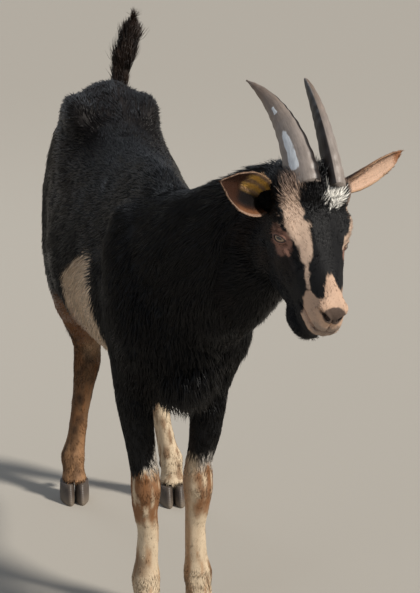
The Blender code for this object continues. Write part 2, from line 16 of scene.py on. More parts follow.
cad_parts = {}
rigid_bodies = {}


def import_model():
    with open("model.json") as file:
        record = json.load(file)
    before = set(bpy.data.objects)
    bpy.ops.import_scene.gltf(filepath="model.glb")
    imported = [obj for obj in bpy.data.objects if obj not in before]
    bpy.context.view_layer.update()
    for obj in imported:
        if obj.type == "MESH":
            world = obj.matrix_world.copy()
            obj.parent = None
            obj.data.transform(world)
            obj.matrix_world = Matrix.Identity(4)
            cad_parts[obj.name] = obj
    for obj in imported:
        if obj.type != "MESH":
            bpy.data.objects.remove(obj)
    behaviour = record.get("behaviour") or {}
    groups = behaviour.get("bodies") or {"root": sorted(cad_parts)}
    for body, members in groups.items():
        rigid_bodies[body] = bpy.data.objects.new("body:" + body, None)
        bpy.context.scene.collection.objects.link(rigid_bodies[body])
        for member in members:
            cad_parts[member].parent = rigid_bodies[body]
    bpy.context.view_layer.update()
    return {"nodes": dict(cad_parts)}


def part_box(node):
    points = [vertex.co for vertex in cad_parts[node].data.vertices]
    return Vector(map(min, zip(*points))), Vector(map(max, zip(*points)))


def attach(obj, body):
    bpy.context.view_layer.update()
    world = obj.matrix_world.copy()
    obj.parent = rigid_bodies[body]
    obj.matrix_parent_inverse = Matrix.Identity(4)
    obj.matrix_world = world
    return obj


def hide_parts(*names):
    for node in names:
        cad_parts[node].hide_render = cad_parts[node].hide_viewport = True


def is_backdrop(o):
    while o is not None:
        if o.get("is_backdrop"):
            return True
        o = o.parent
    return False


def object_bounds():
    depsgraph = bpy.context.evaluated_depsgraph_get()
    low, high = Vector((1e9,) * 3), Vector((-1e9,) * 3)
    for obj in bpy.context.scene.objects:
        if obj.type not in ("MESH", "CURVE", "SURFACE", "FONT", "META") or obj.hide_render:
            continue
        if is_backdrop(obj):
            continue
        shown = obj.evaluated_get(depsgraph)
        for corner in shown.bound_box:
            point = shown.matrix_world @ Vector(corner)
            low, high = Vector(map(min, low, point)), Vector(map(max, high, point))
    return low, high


for thing in list(bpy.data.objects):
    bpy.data.objects.remove(thing)
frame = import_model()


# ---------------- the hide
# One unbroken skin over trunk, neck, head, legs and tail. It is drawn over the solids of flesh
# and is worked finer over the head, where the lids, lips and nostrils are modelled in it.

CM = 0.01
FLESH = ["trunk", "neck", "head", "tail"] + [
    f"{pair}_{side}_{part}"
    for pair in ("foreleg", "hindleg")
    for side in ("right", "left")
    for part in ("upper", "lower")
]
SIDES = {"right": -1, "left": 1}
HEAD_YAW, HEAD_PITCH, HEAD_ROLL = (math.radians(a) for a in (6.2, 28, -11))
HEAD_SCALE = 1.047
EYE_AT = np.array((2.95, 1.6, 0.25))  # the left eye's centre in the head's own frame
HEAD_FROM_BODY = np.array((0.120, -0.419, 0.562))  # metres, between the two frames' origins
SKIN_VOXEL = 0.40
# An ear's root, direction, way of opening, half width, and how far it curls at root and tip.
EARS = {
    "right": ((-4.6, -4.2, 0.6), (-0.70, 0.48, 0.53), (0.68, 0.69, 0.27), 2.75, 112, 62),
    "left": ((3.9, -5.2, 2.3), (0.86, -0.24, 0.39), (0.17, 0.90, 0.15), 1.5, 128, 60),
}
# A horn's foot, its lean at foot and tip in degrees, its spread at the foot and what that gains
# by the tip, its twist in degrees, its half depth and half width, and how early it thins.
HORNS = {
    "right": ((-1.44, -3.35, 5.0), (22.5, -18.5), (-0.05, -0.19), -26.5, 2.12, 1.24, 0.79),
    "left": ((2.3, -3.0, 5.1), (24.5, -12.0), (-0.05, 0.17), -22.5, 2.40, 1.08, 0.53),
}


def unit(vectors):
    vectors = np.asarray(vectors, float)
    return vectors / np.maximum(np.linalg.norm(vectors, axis=-1, keepdims=True), 1e-12)


def linked(name, data):
    """A new object of the scene that holds the data."""
    thing = bpy.data.objects.new(name, data)
    bpy.context.scene.collection.objects.link(thing)
    return thing


def read(items, field, width, kind=np.float32):
    """One field of all vertices, edges, loops or corners, as rows."""
    values = np.zeros(len(items) * width, kind)
    items.foreach_get(field, values)
    return values.reshape(-1, width)


def from_ball(points, centre, radii):
    """How far points are from an oval ball's centre, where 1 is its surface."""
    return np.linalg.norm((points - centre) / radii, axis=1)


def head_axes():
    """Columns: the head's left, its nose and its brow, as directions of the frame."""
    level = np.array((math.sin(HEAD_YAW), -math.cos(HEAD_YAW), 0))
    left = np.array((math.cos(HEAD_YAW), math.sin(HEAD_YAW), 0))
    up = np.array((0, 0, 1.0))
    nose = level * math.cos(HEAD_PITCH) - up * math.sin(HEAD_PITCH)
    brow = up * math.cos(HEAD_PITCH) + level * math.sin(HEAD_PITCH)
    rolled_left = left * math.cos(HEAD_ROLL) + brow * math.sin(HEAD_ROLL)
    rolled_brow = brow * math.cos(HEAD_ROLL) - left * math.sin(HEAD_ROLL)
    return np.column_stack((rolled_left, nose, rolled_brow)) * HEAD_SCALE


def middle_of(node):
    low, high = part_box(node)
    return np.array((low + high) / 2)


head_turn = head_axes()
head_at = (middle_of("eye_right") + middle_of("eye_left")) / 2 - head_turn @ (EYE_AT * (0, 1, 1) * CM)
body_at = head_at - HEAD_FROM_BODY


def placed(points):
    """Centimetres of the animal to metres of the frame."""
    return np.asarray(points, float) * CM + body_at


def in_body(points):
    return (points - body_at) / CM


def from_head(points):
    return np.asarray(points, float) * CM @ head_turn.T + head_at


def in_head(points):
    return (points - head_at) @ np.linalg.inv(head_turn).T / CM


def drawn_over(nodes):
    """A mesh drawn over the solids of flesh, with the sockets of horns, ears and eyes filled."""
    hide = bmesh.new()
    for name in nodes:
        hide.from_mesh(frame["nodes"][name].data)
    for side, sign in SIDES.items():
        for centre, radii in (
            (EYE_AT * (sign, 1, 1), (1.3, 1.3, 1.3)),
            (np.array(HORNS[side][0]) - (0, 0, 1.0), (1.5, 2.5, 1.8)),
            (np.array(EARS[side][0]) - (sign * 0.3, 0.4, 0.1), (1.3, 1.7, 1.6)),
        ):
            filler = bmesh.ops.create_icosphere(hide, subdivisions=3, radius=1)["verts"]
            points = np.array([vert.co for vert in filler]) * radii + centre
            for vert, point in zip(filler, from_head(points)):
                vert.co = point
    skin = linked("skin", bpy.data.meshes.new("skin"))
    hide.to_mesh(skin.data)
    hide.free()
    remesh = skin.modifiers.new("draw_over", "REMESH")
    remesh.mode = "VOXEL"
    remesh.voxel_size = SKIN_VOXEL * CM
    graph = bpy.context.evaluated_depsgraph_get()
    skin.data = bpy.data.meshes.new_from_object(skin.evaluated_get(graph))
    skin.modifiers.clear()
    return skin


def vertices_of(data):
    return read(data.vertices, "co", 3, float)


def finer(data, wanted):
    """Halves the edges of the mesh whose two ends are both wanted."""
    mesh = bmesh.new()
    mesh.from_mesh(data)
    mesh.verts.ensure_lookup_table()
    chosen = wanted(vertices_of(data))
    edges = [e for e in mesh.edges if chosen[e.verts[0].index] and chosen[e.verts[1].index]]
    bmesh.ops.subdivide_edges(mesh, edges=edges, cuts=1, use_grid_fill=True)
    bmesh.ops.triangulate(mesh, faces=[f for f in mesh.faces if len(f.verts) > 4])
    mesh.to_mesh(data)
    mesh.free()


def on_head(points, back):
    """The head ahead of a place along it."""
    x, y, z = in_head(points).T
    return (y > back) & (y < 15) & (abs(x) < 7) & (z > -10) & (z < 8)


def on_detail(points):
    """The end of the muzzle and the skin around each eye."""
    x, y, z = in_head(points).T
    by_eye = from_ball(np.column_stack((abs(x), y, z)), EYE_AT, 2.5) < 1
    return by_eye | ((y > 9.6) & (y < 14) & (z > -5.2) & (abs(x) < 4))


skin = drawn_over(FLESH)
for wanted in (lambda points: on_head(points, -6.5), lambda points: on_head(points, -0.8), on_detail):
    finer(skin.data, wanted)


def neighbours_mean(values, edges):
    """Each vertex's mean of its neighbours' values, columns kept."""
    count = np.bincount(edges.ravel(), minlength=len(values))
    total = np.column_stack([
        np.bincount(edges[:, 0], values[edges[:, 1], k], len(values))
        + np.bincount(edges[:, 1], values[edges[:, 0], k], len(values))
        for k in range(values.shape[1])
    ])  # fmt: skip
    return total / count[:, None]


def relaxed(points, edges):
    """Evens out bumps narrower than a few edges and keeps the wider form."""
    for _ in range(30):
        for share in (0.5, -0.52):
            points = points + share * (neighbours_mean(points, edges) - points)
    return points


def crossed(points, triangles):
    """Each triangle's normal, twice as long as its area."""
    a, b, c = (points[triangles[:, k]] for k in range(3))
    return np.cross(b - a, c - a)


def normals_of(points, triangles):
    face = crossed(points, triangles)
    total = np.zeros_like(points)
    for k in range(3):
        for axis in range(3):
            total[:, axis] += np.bincount(triangles[:, k], face[:, axis], len(points))
    return unit(total)


def triangles_of(data, field="vertices"):
    data.calc_loop_triangles()
    return read(data.loop_triangles, field, 3, np.int32)


def flat_on(flow, normals):
    """The flow turned to lie along the surface that has the normals."""
    return unit(flow - normals * (flow * normals).sum(1)[:, None])


skin_edges = read(skin.data.edges, "vertices", 2, np.int32)
skin_triangles = triangles_of(skin.data)
skin_points = relaxed(vertices_of(skin.data), skin_edges)
skin_normals = normals_of(skin_points, skin_triangles)


def part_of(points):
    """The name of the nearest solid of flesh, for each point."""
    corners, faces, owners = [], [], []
    for name in FLESH:
        data = frame["nodes"][name].data
        first = len(corners)
        corners += [vert.co[:] for vert in data.vertices]
        faces += [[first + i for i in face.vertices] for face in data.polygons]
        owners += [name] * len(data.polygons)
    tree = BVHTree.FromPolygons(corners, faces)
    return np.array([owners[tree.find_nearest(point)[2]] for point in points])


skin_parts = part_of(skin_points)


# ---------------- the lie of the coat
# A goat's hair runs back and down over the body, up the bridge of the nose and up the tail.
# Each stroke of the comb gives a place, the way the hair lies there, how far that holds, the
# hair's length, its rise off the skin in degrees, and the depth of the coat. Two places across
# stand for two strokes, right and left, whose ways are mirrored.

BODY_STROKES = [
    (-1, -2, 59, (0, 1, -0.10), 8, 2.1, 8, 0.40),
    (-2, 12, 61, (0, 1, -0.05), 8, 2.1, 8, 0.40),
    (-3, 24, 63, (0, 1, -0.30), 7, 2.3, 11, 0.45),
    (-2, 33, 55, (0, 0.25, -1), 6, 2.6, 13, 0.50),
    ((-9, 3.5), 24, 48, (0.15, 0.45, -1), 7, 2.2, 9, 0.45),
    ((-7.5, 3), 31, 41, (0.15, 0.7, -1), 5, 3.0, 16, 0.55),
    ((-12, 8), 12, 47, (0.1, 0.8, -0.6), 7, 2.1, 8, 0.40),
    ((-12, 10), -2, 46, (0, 0.7, -0.7), 8, 2.1, 8, 0.40),
    (-1, 0, 31, (0, 1, -0.1), 8, 2.2, 11, 0.45),
    (-2, 14, 33, (0, 0.8, 0.3), 7, 1.8, 8, 0.35),
    (0, -11, 60, (0, 0.95, -0.3), 6, 2.4, 11, 0.50),
    ((-8, 8), -16, 49, (0.1, 0.4, -1), 6, 2.0, 8, 0.40),
    (5, -29, 62, (-0.5, 0.85, -0.2), 5, 2.6, 16, 0.60),
    (0, -30, 55, (-0.4, 0.45, -0.85), 6, 2.3, 9, 0.50),
    (10, -28, 52, (-0.1, 0.5, -0.9), 6, 2.3, 9, 0.50),
    (9, -36, 50, (-0.2, 0.2, -1), 6, 2.6, 11, 0.55),
    (1.5, -29, 42, (0, 0.1, -1), 6, 2.9, 13, 0.65),
    (0.8, -26, 34, (0, 0.3, -1), 5, 3.6, 20, 0.75),
    ((-6, 7), -19, 37, (0, 0.1, -1), 5, 1.8, 8, 0.35),
    ((-4.6, 4.6), -19.4, 27, (0, 0.05, -1), 4, 1.2, 6, 0.22),
    ((-8, 4), 22, 31, (0, 0.3, -1), 4, 1.6, 8, 0.30),
    (-5.6, 29, 22, (0, 0.1, -1), 4, 1.0, 8, 0.20),
    (3.5, 26, 22, (0, 0.1, -1), 4, 1.0, 8, 0.20),
    (-6.2, 33, 26, (0, 0.5, -1), 3, 2.4, 20, 0.30),
    (3.5, 31, 26, (0, 0.5, -1), 3, 2.4, 20, 0.30),
]
LEG_STROKES = [
    (0, -19, 19, (0, 0, -1), 6, 0.7, 4, 0.15),
    (0, -19, 12, (0, 0.1, -1), 5, 0.6, 4, 0.12),
    (0, -19, 4, (0, -0.2, -1), 4, 0.9, 9, 0.15),
    (-1, 28, 16, (0, 0.05, -1), 6, 0.7, 5, 0.15),
    (-1, 26, 10, (0, 0.1, -1), 5, 0.6, 5, 0.12),
    (-1, 26, 4, (0, -0.2, -1), 4, 0.9, 9, 0.15),
]
TAIL_STROKES = [
    (0, 32, 60, (0, 0.3, 1), 3, 2.2, 9, 0.4),
    (1, 33, 66, (0.1, 0, 1), 3, 3.0, 12, 0.5),
    (2, 32, 71, (0.2, -0.2, 1), 3, 1.3, 10, 0.4),
]
# These are in the head's own frame, and are given for its left side.
HEAD_STROKES = [
    (0, 7.5, 1.4, (0, -1, 0.2), 2.6, 0.50, 5, 0.07),
    (0, 3.0, 3.0, (0, -1, 0.25), 2.6, 0.65, 6, 0.09),
    (0, -0.5, 4.2, (0.1, -1, 0.35), 2.2, 1.1, 11, 0.15),
    (0.4, -1.4, 5.9, (0.1, -0.5, 1.0), 1.3, 1.9, 26, 0.20),
    (2.2, -1.2, 5.3, (0.2, -0.6, 0.9), 1.3, 1.4, 16, 0.18),
    (3.8, -2.4, 4.6, (0.5, -0.7, 0.6), 1.5, 1.7, 22, 0.22),
    (3.0, 0.6, 2.6, (0.5, -1, 0.0), 2.0, 0.55, 6, 0.08),
    (3.8, 3.0, -0.6, (0.1, -1, -0.4), 2.4, 0.50, 5, 0.08),
    (3.9, 0.0, -2.4, (0, -1, -0.6), 2.6, 0.9, 7, 0.12),
    (4.2, -3.6, -3.6, (0, -0.9, -0.8), 2.8, 1.7, 13, 0.30),
    (2.0, 2.0, -6.6, (0, -1, -0.3), 3.0, 1.2, 8, 0.20),
    (0.6, 8.4, -7.2, (0, -1.0, -0.3), 2.4, 0.9, 7, 0.15),
    (2.1, 8.8, -2.0, (0.1, -1, -0.3), 2.0, 0.35, 4, 0.05),
    (1.2, 11.0, -3.6, (0.3, -0.8, -0.4), 1.5, 0.24, 4, 0.04),
    (0, 12.2, -1.4, (0, -0.5, 1), 1.3, 0.16, 4, 0.03),
    (1.6, -7.5, 3.4, (0, -1, -0.3), 2.6, 2.6, 18, 0.5),
    (4.0, -5.4, 1.0, (0.3, -1, 0.1), 1.8, 1.6, 14, 0.3),
    (3.4, -7.6, -2.6, (0, -1, -0.6), 2.6, 2.4, 14, 0.5),
    (0.6, -4.6, -7.8, (0, -0.7, -1), 3.0, 2.6, 15, 0.6),
]


def combed(points, strokes):
    """Flow, length, rise and depth at the points, each stroke weighing less with distance."""
    rows = np.array([
        (at, y, z, sign * way[0], *way[1:], *rest)
        for x, y, z, way, *rest in strokes
        for sign, at in (zip((-1, 1), x) if isinstance(x, tuple) else [(1, x)])
    ])  # fmt: skip
    values = np.column_stack((unit(rows[:, 3:6]), rows[:, 7:]))
    far = np.linalg.norm(points[:, None] - rows[None, :, :3], axis=2) / rows[:, 6]
    weight = 1 / (0.05 + far**2) ** 2
    return weight @ values / weight.sum(1, keepdims=True)


def lie_of_coat():
    """Columns for each point of the skin: flow (3), length, rise, depth."""
    lie = np.zeros((len(skin_points), 6))
    body = in_body(skin_points)
    lower = np.char.endswith(skin_parts, "lower")
    tail, head = skin_parts == "tail", skin_parts == "head"
    for where, strokes in (
        (~(lower | tail | head), BODY_STROKES),
        (lower, LEG_STROKES),
        (tail, TAIL_STROKES),
    ):
        lie[where] = combed(body[where], strokes)
    local = in_head(skin_points[head])
    mirror = np.where(local[:, :1] < 0, (-1, 1, 1), (1, 1, 1))
    lie[head] = combed(local * mirror, HEAD_STROKES)
    lie[head, :3] = unit(lie[head, :3] * mirror @ head_turn.T)
    for _ in range(14):
        lie = lie * 0.4 + neighbours_mean(lie, skin_edges) * 0.6
    return lie


skin_lie = lie_of_coat()
skin_points = skin_points - skin_normals * skin_lie[:, 5:6] * CM


# ---------------- the face in the hide
# Brow, temple, tear hollow, cheek crest, lids, nostrils and lips are pressed and raised in the
# skin itself. Raised and sunk heights are in centimetres of the head.

FACE_FORMS = [
    # a line near the skin on the head's left side, its reach, and how far the skin rises
    ([(3.6, -0.6, 1.9), (3.6, 1.2, 2.1), (2.9, 3.2, 1.4)], 0.9, 0.16),
    ([(3.0, 3.6, 0.3), (2.3, 5.6, -0.3)], 0.8, -0.16),
    ([(3.9, -2.8, 1.4), (4.1, -3.4, 0.4)], 1.4, -0.16),
    ([(3.5, 2.6, -1.6), (2.7, 6.0, -2.2)], 0.8, 0.14),
    ([(2.7, 5.6, -4.0), (2.4, 7.4, -4.0)], 1.3, -0.20),
    ([(1.0, 1.5, 3.4), (0.9, 6.0, 1.9)], 0.7, 0.06),
    ([(3.6, -3.0, -5.6), (2.4, 2.6, -6.2)], 1.1, 0.10),
    ([(1.5, 11.2, -0.5), (1.15, 11.9, -0.7), (0.6, 12.2, -1.3), (0.4, 12.3, -1.9)], 0.45, 0.13),
    ([(1.45, 11.5, -1.0), (1.05, 12.0, -1.15), (0.55, 12.25, -1.6)], 0.27, -0.50),
    ([(0, 12.3, -1.7), (0, 12.2, -3.6)], 0.17, -0.16),
    ([(1.6, 10.6, -2.3), (1.0, 11.9, -2.6), (0.5, 12.2, -2.9)], 0.6, 0.08),
    ([(2.2, 8.6, -2.85), (2.0, 10.2, -2.95), (1.6, 11.5, -3.1), (0.8, 12.1, -3.45), (0, 12.15, -3.7)],
     0.28, -0.36),
    ([(2.0, 9.4, -3.5), (1.4, 11.2, -3.9), (0, 11.8, -4.3)], 0.42, 0.12),
    ([(1.9, 8.0, -4.9), (0.9, 9.8, -5.3), (0, 10.2, -5.4)], 0.5, -0.10),
]  # fmt: skip


def eased(share):
    share = np.clip(share, 0, 1)
    return share * share * (3 - 2 * share)


def off_line(points, line):
    """Each point's distance from a line through the given places, and its share along it."""
    line = np.asarray(line, float)
    best, share = np.full(len(points), 1e9), np.zeros(len(points))
    for k, (start, end) in enumerate(zip(line, line[1:])):
        way = end - start
        along = np.clip((points - start) @ way / (way @ way), 0, 1)
        far = np.linalg.norm(points - start - along[:, None] * way, axis=1)
        share = np.where(far < best, (k + along) / (len(line) - 1), share)
        best = np.minimum(best, far)
    return best, share


def on_skin(line, local):
    """The line filled in with short steps, each moved to the skin that is nearest to it."""
    line = np.asarray(line, float)
    steps = np.linspace(0, len(line) - 1, 8 * (len(line) - 1) + 1)
    places = np.column_stack([np.interp(steps, np.arange(len(line)), line[:, k]) for k in range(3)])
    far = np.linalg.norm(local[None] - places[:, None], axis=2)
    places = local[far.argmin(1)]
    for _ in range(2):
        places[1:-1] = (places[:-2] + places[1:-1] + places[2:]) / 3
    return places


def eye_axes(side):
    """Where an eye looks, the way to its front corner, and the way to its brow."""
    look = unit((side * 0.82, 0.50, 0.20))
    front = np.array((-side * 0.5, 0.8, 0.25))
    front = unit(front - look * (front @ look))
    return look, front, np.cross(look, front) * -side


LID_CORNER, UPPER_LID, LOWER_LID = (math.radians(a) for a in (38, 16, 12))
LID_FADE, CREASE_OFF, CREASE_HALF = (math.radians(a) for a in (24, 15, 7))
LID_RADIUS, SOCKET_RADIUS, EYE_REACH = 1.36, 0.85, 2.6


def lid_height(across, above):
    """The lids' angle off the middle of the eye at an angle across it."""
    half = np.where(above, UPPER_LID, LOWER_LID)
    return half * np.maximum(1 - (abs(across) / LID_CORNER) ** 2.2, 0)


def from_eye(local, side):
    """Points as an eye sees them: the way to each, its distance, how far it is in view, its angle
    across, whether it is above, and how far it is inside the opening of the lids."""
    look, front, above = eye_axes(side)
    off = local - EYE_AT * (side, 1, 1)
    radius = np.linalg.norm(off, axis=1)
    way = off / radius[:, None]
    across = np.arctan2(way @ front, way @ look)
    raised = np.arcsin(np.clip(way @ above, -1, 1))
    return way, radius, way @ look, across, raised > 0, lid_height(across, raised > 0) - abs(raised)


def face_in_hide():
    """Moves the points of the head to the forms of the face, and returns them."""
    points = skin_points.copy()
    chosen = np.where(on_head(points, -6.0))[0]
    local = in_head(points[chosen])
    out = unit(normals_of(points, skin_triangles)[chosen] @ np.linalg.inv(head_turn).T)
    smooth = local.copy()
    for side in SIDES.values():
        mirror = np.array((side, 1, 1))
        own = smooth[:, 0] * side > -0.4
        for line, reach, height in FACE_FORMS:
            middle = on_skin(np.array(line) * mirror, smooth)
            share = 0.5 if line[0][0] == 0 else 1.0
            far, _ = off_line(smooth, middle)
            local += out * (share * height * eased(1 - far / reach) * own)[:, None]
    for side in SIDES.values():
        way, radius, faced, across, above, opening = from_eye(local, side)
        near = radius < EYE_REACH
        inside = near & (faced > 0.25) & (opening > 0) & (abs(across) < LID_CORNER)
        lid = LID_RADIUS + 0.05 * eased(1 + opening / LID_FADE)
        crease = eased(1 - abs(opening + CREASE_OFF) / CREASE_HALF) * above
        outside = np.maximum(radius, lid) - 0.10 * crease * (abs(across) < LID_CORNER * 1.2)
        radius = np.where(inside, SOCKET_RADIUS, np.where(near & (faced > 0.25), outside, radius))
        local[near] = (EYE_AT * (side, 1, 1) + way * radius[:, None])[near]
    points[chosen] = from_head(local)
    return points


skin_points = face_in_hide()
skin_normals = normals_of(skin_points, skin_triangles)
skin_flow = flat_on(skin_lie[:, :3], skin_normals)


# ---------------- the ears
# Each ear is a leaf-shaped cup of gristle under thin skin, rooted low beside the horn. The left
# one is held out flat and the right one turns its hollow forward.

EAR_LENGTH, EAR_ROWS = 9.2, 34
EAR_TURN = np.linspace(-1, 1, 26)  # across the leaf, from edge to edge


def ear_shell(side):
    """Rings of an ear in the head's frame: the back of the shell, then the hollow. Last axis is xyz."""
    root, along, opening = (np.array(axis) for axis in EARS[side][:3])
    wide, curl_root, curl_tip = EARS[side][3:]
    along = unit(along)
    opening = unit(opening - along * (opening @ along))
    across = np.cross(along, opening)
    share = np.linspace(0, 1, EAR_ROWS)[:, None]
    half = 0.35 + wide * np.sin(math.pi * (share * 0.81 + 0.15)) ** 0.8
    half *= np.clip((1.012 - share) / 0.14, 0, 1) ** 0.5
    curl = np.radians(curl_root + (curl_tip - curl_root) * np.minimum(1, share * 1.5))
    radius = half / curl
    middle = root + along * (EAR_LENGTH * share - 0.9 * (1 - share)) + opening * (-0.9 * share**2)
    turn = curl * EAR_TURN[None]
    thick = 0.10 + 0.16 * np.cos(EAR_TURN * math.pi / 2)[None] * (1 - share * 0.5)
    ribs = 0.05 * np.sin(turn * 9 / curl * 1.2) * np.minimum(1, share * 4) * (1 - share)
    shells = []
    for near in (radius, np.maximum(radius - thick - ribs, 0.04)):
        sideways = (near * np.sin(turn))[..., None] * across
        outward = (radius - near * np.cos(turn))[..., None] * opening
        shells.append(middle[:, None] + sideways + outward)
    return np.concatenate((shells[0], shells[1][:, ::-1]), axis=1)


def meshed(name, mesh, *materials):
    """The bmesh as a smooth object in the scene, faces pointing out."""
    bmesh.ops.recalc_face_normals(mesh, faces=mesh.faces)
    thing = linked(name, bpy.data.meshes.new(name))
    mesh.to_mesh(thing.data)
    mesh.free()
    thing.data.shade_smooth()
    for material in materials:
        thing.data.materials.append(material)
    return thing


def ringed(name, rings, *materials, endless=False):
    """Closed rings of points joined into a skin, capped at both ends or run round to the start."""
    mesh = bmesh.new()
    loops = [[mesh.verts.new(point) for point in ring] for ring in rings]
    for one, two in zip(loops, loops[1:] + loops[:1] * endless):
        for k in range(len(one)):
            after = (k + 1) % len(one)
            mesh.faces.new((one[k], one[after], two[after], two[k]))
    if not endless:
        mesh.faces.new(loops[0][::-1])
        mesh.faces.new(loops[-1])
    return meshed(name, mesh, *materials)


def oval(count, power):
    """Sideways and forward shares of the points of a rounded ring."""
    angles = np.linspace(0, 2 * math.pi, count, endpoint=False)
    a, b = np.cos(angles), np.sin(angles)
    return np.sign(a) * abs(a) ** power, np.sign(b) * abs(b) ** power


ears = {side: ringed(f"ear_{side}_skin", from_head(ear_shell(side))) for side in SIDES}


# ---------------- the markings
# A black goat with a pale flank patch, cream and rust stockings, tan stripes down the face and a
# tan muzzle. Skin and hair take their colour from the same rules, so that a patch runs through both.

BLACK = (0.0036, 0.0033, 0.0038)
BROWN_BLACK = (0.011, 0.0055, 0.0034)
CREAM = (0.62, 0.49, 0.34)
PALE_TAN = (0.46, 0.32, 0.20)
STREAK_TAN = (0.36, 0.20, 0.10)
RUST = (0.215, 0.088, 0.030)
GREY_WHITE = (0.58, 0.55, 0.51)
TAN_BROWN = (0.20, 0.105, 0.050)
FLANK_BROWN = (0.25, 0.100, 0.035)
FLANK_CREAM = (0.78, 0.62, 0.47)
FACE_TAN = (0.50, 0.36, 0.27)
EYE_PINK = (0.27, 0.140, 0.100)
HORN_EDGE_BROWN = (0.15, 0.100, 0.080)
MUZZLE_TAN = (0.56, 0.375, 0.265)
NOSE_GREY = (0.110, 0.076, 0.060)
LIP_GREY = (0.30, 0.235, 0.195)
FORELOCK_WHITE = (0.88, 0.85, 0.79)
MOUTH_BLACK = (0.03, 0.018, 0.016)
NOSTRIL_BLACK = (0.012, 0.008, 0.008)
TAIL_BROWN = (0.035, 0.018, 0.010)
FORE_FEET = {"right": (-3.5, -20.2), "left": (3.3, -19.4)}
HIND_FEET = {"right": (-8.1, 27.6), "left": (6.2, 24.2)}


def mottle(points, size, seed):
    """Smooth noise from 0 to 1 whose patches are about so big. Size may differ along x, y and z."""
    grid = points / np.asarray(size, float) + seed * 17.31
    cell = np.floor(grid).astype(np.int64)
    part = grid - cell
    part = part * part * (3 - 2 * part)
    total = np.zeros(len(points))
    for corner in range(8):
        step = np.array(((corner >> 2) & 1, (corner >> 1) & 1, corner & 1))
        key = (cell + step) @ np.array((73856093, 19349663, 83492791)) + seed * 7919
        key = (key ^ (key >> 13)) * 1274126177 & 0x7FFFFFFF
        value = ((key ^ (key >> 15)) & 0xFFFF) / 65535
        total += value * np.prod(np.where(step, part, 1 - part), axis=1)
    return total


def ramp(value, start, end):
    return eased((value - start) / (end - start))


def fade(value, start, end):
    return 1 - ramp(value, start, end)


def band(value, start, full, fading, end):
    """1 between full and fading, and 0 before the start and after the end."""
    return ramp(value, start, full) * fade(value, fading, end)


def laid(under, *coats):
    """Colours laid over the first one, each with a mask that is 1 where it covers."""
    for colour, mask in coats:
        under = under + (np.array(colour) - under) * mask[:, None]
    return under


def foreleg_colour(body, side):
    """Black above, a pale cuff, a rust knee and a streaked cream cannon."""
    height = body[:, 2]
    outer = np.clip((body[:, 0] - FORE_FEET[side][0]) * SIDES[side] / 1.6, -1, 1)
    ragged = (mottle(body, (0.5, 0.5, 1.6), 3) - 0.5) * 2.2
    streak = mottle(body, (0.45, 0.45, 2.6), 4)
    uneven = height + ragged
    colour = laid(CREAM, (STREAK_TAN, ramp(streak, 0.52, 0.82) * 0.75))
    if side == "right":
        edge = 22.4 - 1.9 * ramp(outer, 0.0, 0.8) + 4.6 * ramp(-outer, 0.35, 0.9)
        smudge = ramp(height, 6.6, 7.6) * fade(height + ragged * 0.5, 9.0, 10.2)
        colour = laid(
            colour,
            (RUST, band(uneven, 13.6, 15.4, 20.4, 21.4) * ramp(streak, 0.12, 0.40) * 0.92),
            (TAN_BROWN, smudge * ramp(outer, -0.6, 0.6) * 0.7),
            (GREY_WHITE, ramp(uneven, 21.2, 21.8) * 0.8),
        )
    else:
        edge = 23.0
        knee = band(uneven, 14.2, 15.8, 21.2, 22.2) * ramp(outer, -0.55, -0.05)
        low = ramp(height, 5.5, 6.5) * fade(uneven, 12.6, 14.0) * ramp(outer, 0.2, 0.7)
        colour = laid(
            colour,
            (RUST, knee * ramp(streak, 0.08, 0.35) * 0.9),
            (TAN_BROWN, low * ramp(streak, 0.3, 0.6) * 0.7),
            (STREAK_TAN, ramp(-outer, 0.6, 0.95) * 0.6),
            (GREY_WHITE, ramp(uneven, 21.4, 22.2) * ramp(outer, -0.5, 0.3) * 0.9),
        )
    black = laid(BLACK, (BROWN_BLACK, ramp(-outer, 0.2, 0.9)))
    return laid(colour, (black, ramp(height + ragged * 0.6, edge - 0.35, edge + 0.35)))


def hindleg_colour(body, side):
    """Tan-brown to cream below the stifle, black down the back of the hock."""
    x, y = HIND_FEET[side]
    height = body[:, 2]
    ragged = (mottle(body, (0.8, 0.8, 2.0), 5) - 0.5) * 3.0
    streak = mottle(body, (0.5, 0.5, 2.4), 6)
    inner = np.clip((x - body[:, 0]) * SIDES[side] / 3.0, -1, 1)
    if side == "right":
        edge = 31.5
        # The right leg's own tan-brown is darkened by a quarter, as painted shade.
        colour = laid(
            np.array(TAN_BROWN) * 0.75,
            (RUST, ramp(streak, 0.40, 0.8) * 0.5),
            (BROWN_BLACK, ramp(mottle(body, (0.8, 0.8, 1.6), 14), 0.62, 0.85) * 0.6),
            (STREAK_TAN, fade(height, 8, 13) * ramp(streak, 0.3, 0.6) * 0.7),
        )
    else:
        edge = 29.0
        colour = laid(CREAM, (TAN_BROWN, ramp(streak, 0.45, 0.7) * 0.8))
    ahead = ramp(y - body[:, 1] + ragged * 0.3, 1.0, 3.0) * ramp(height, 22, 27)
    behind = ramp(body[:, 1] - y + ragged * 0.3, 3.0, 4.2) * ramp(height, 17, 20)
    top = np.maximum(ramp(height + ragged, edge - 1.0, edge + 1.5), behind)
    top = top * (1 - ramp(inner + ragged * 0.1, 0.9, 1.3) * fade(height, 38, 41))
    return laid(
        colour,
        (PALE_TAN, ramp(inner, 0.3, 0.9) * ramp(height, 21, 26)),
        (FLANK_BROWN, ahead * 0.7),
        (BLACK, top * (1 - ahead * fade(height + ragged, 33, 36))),
    )


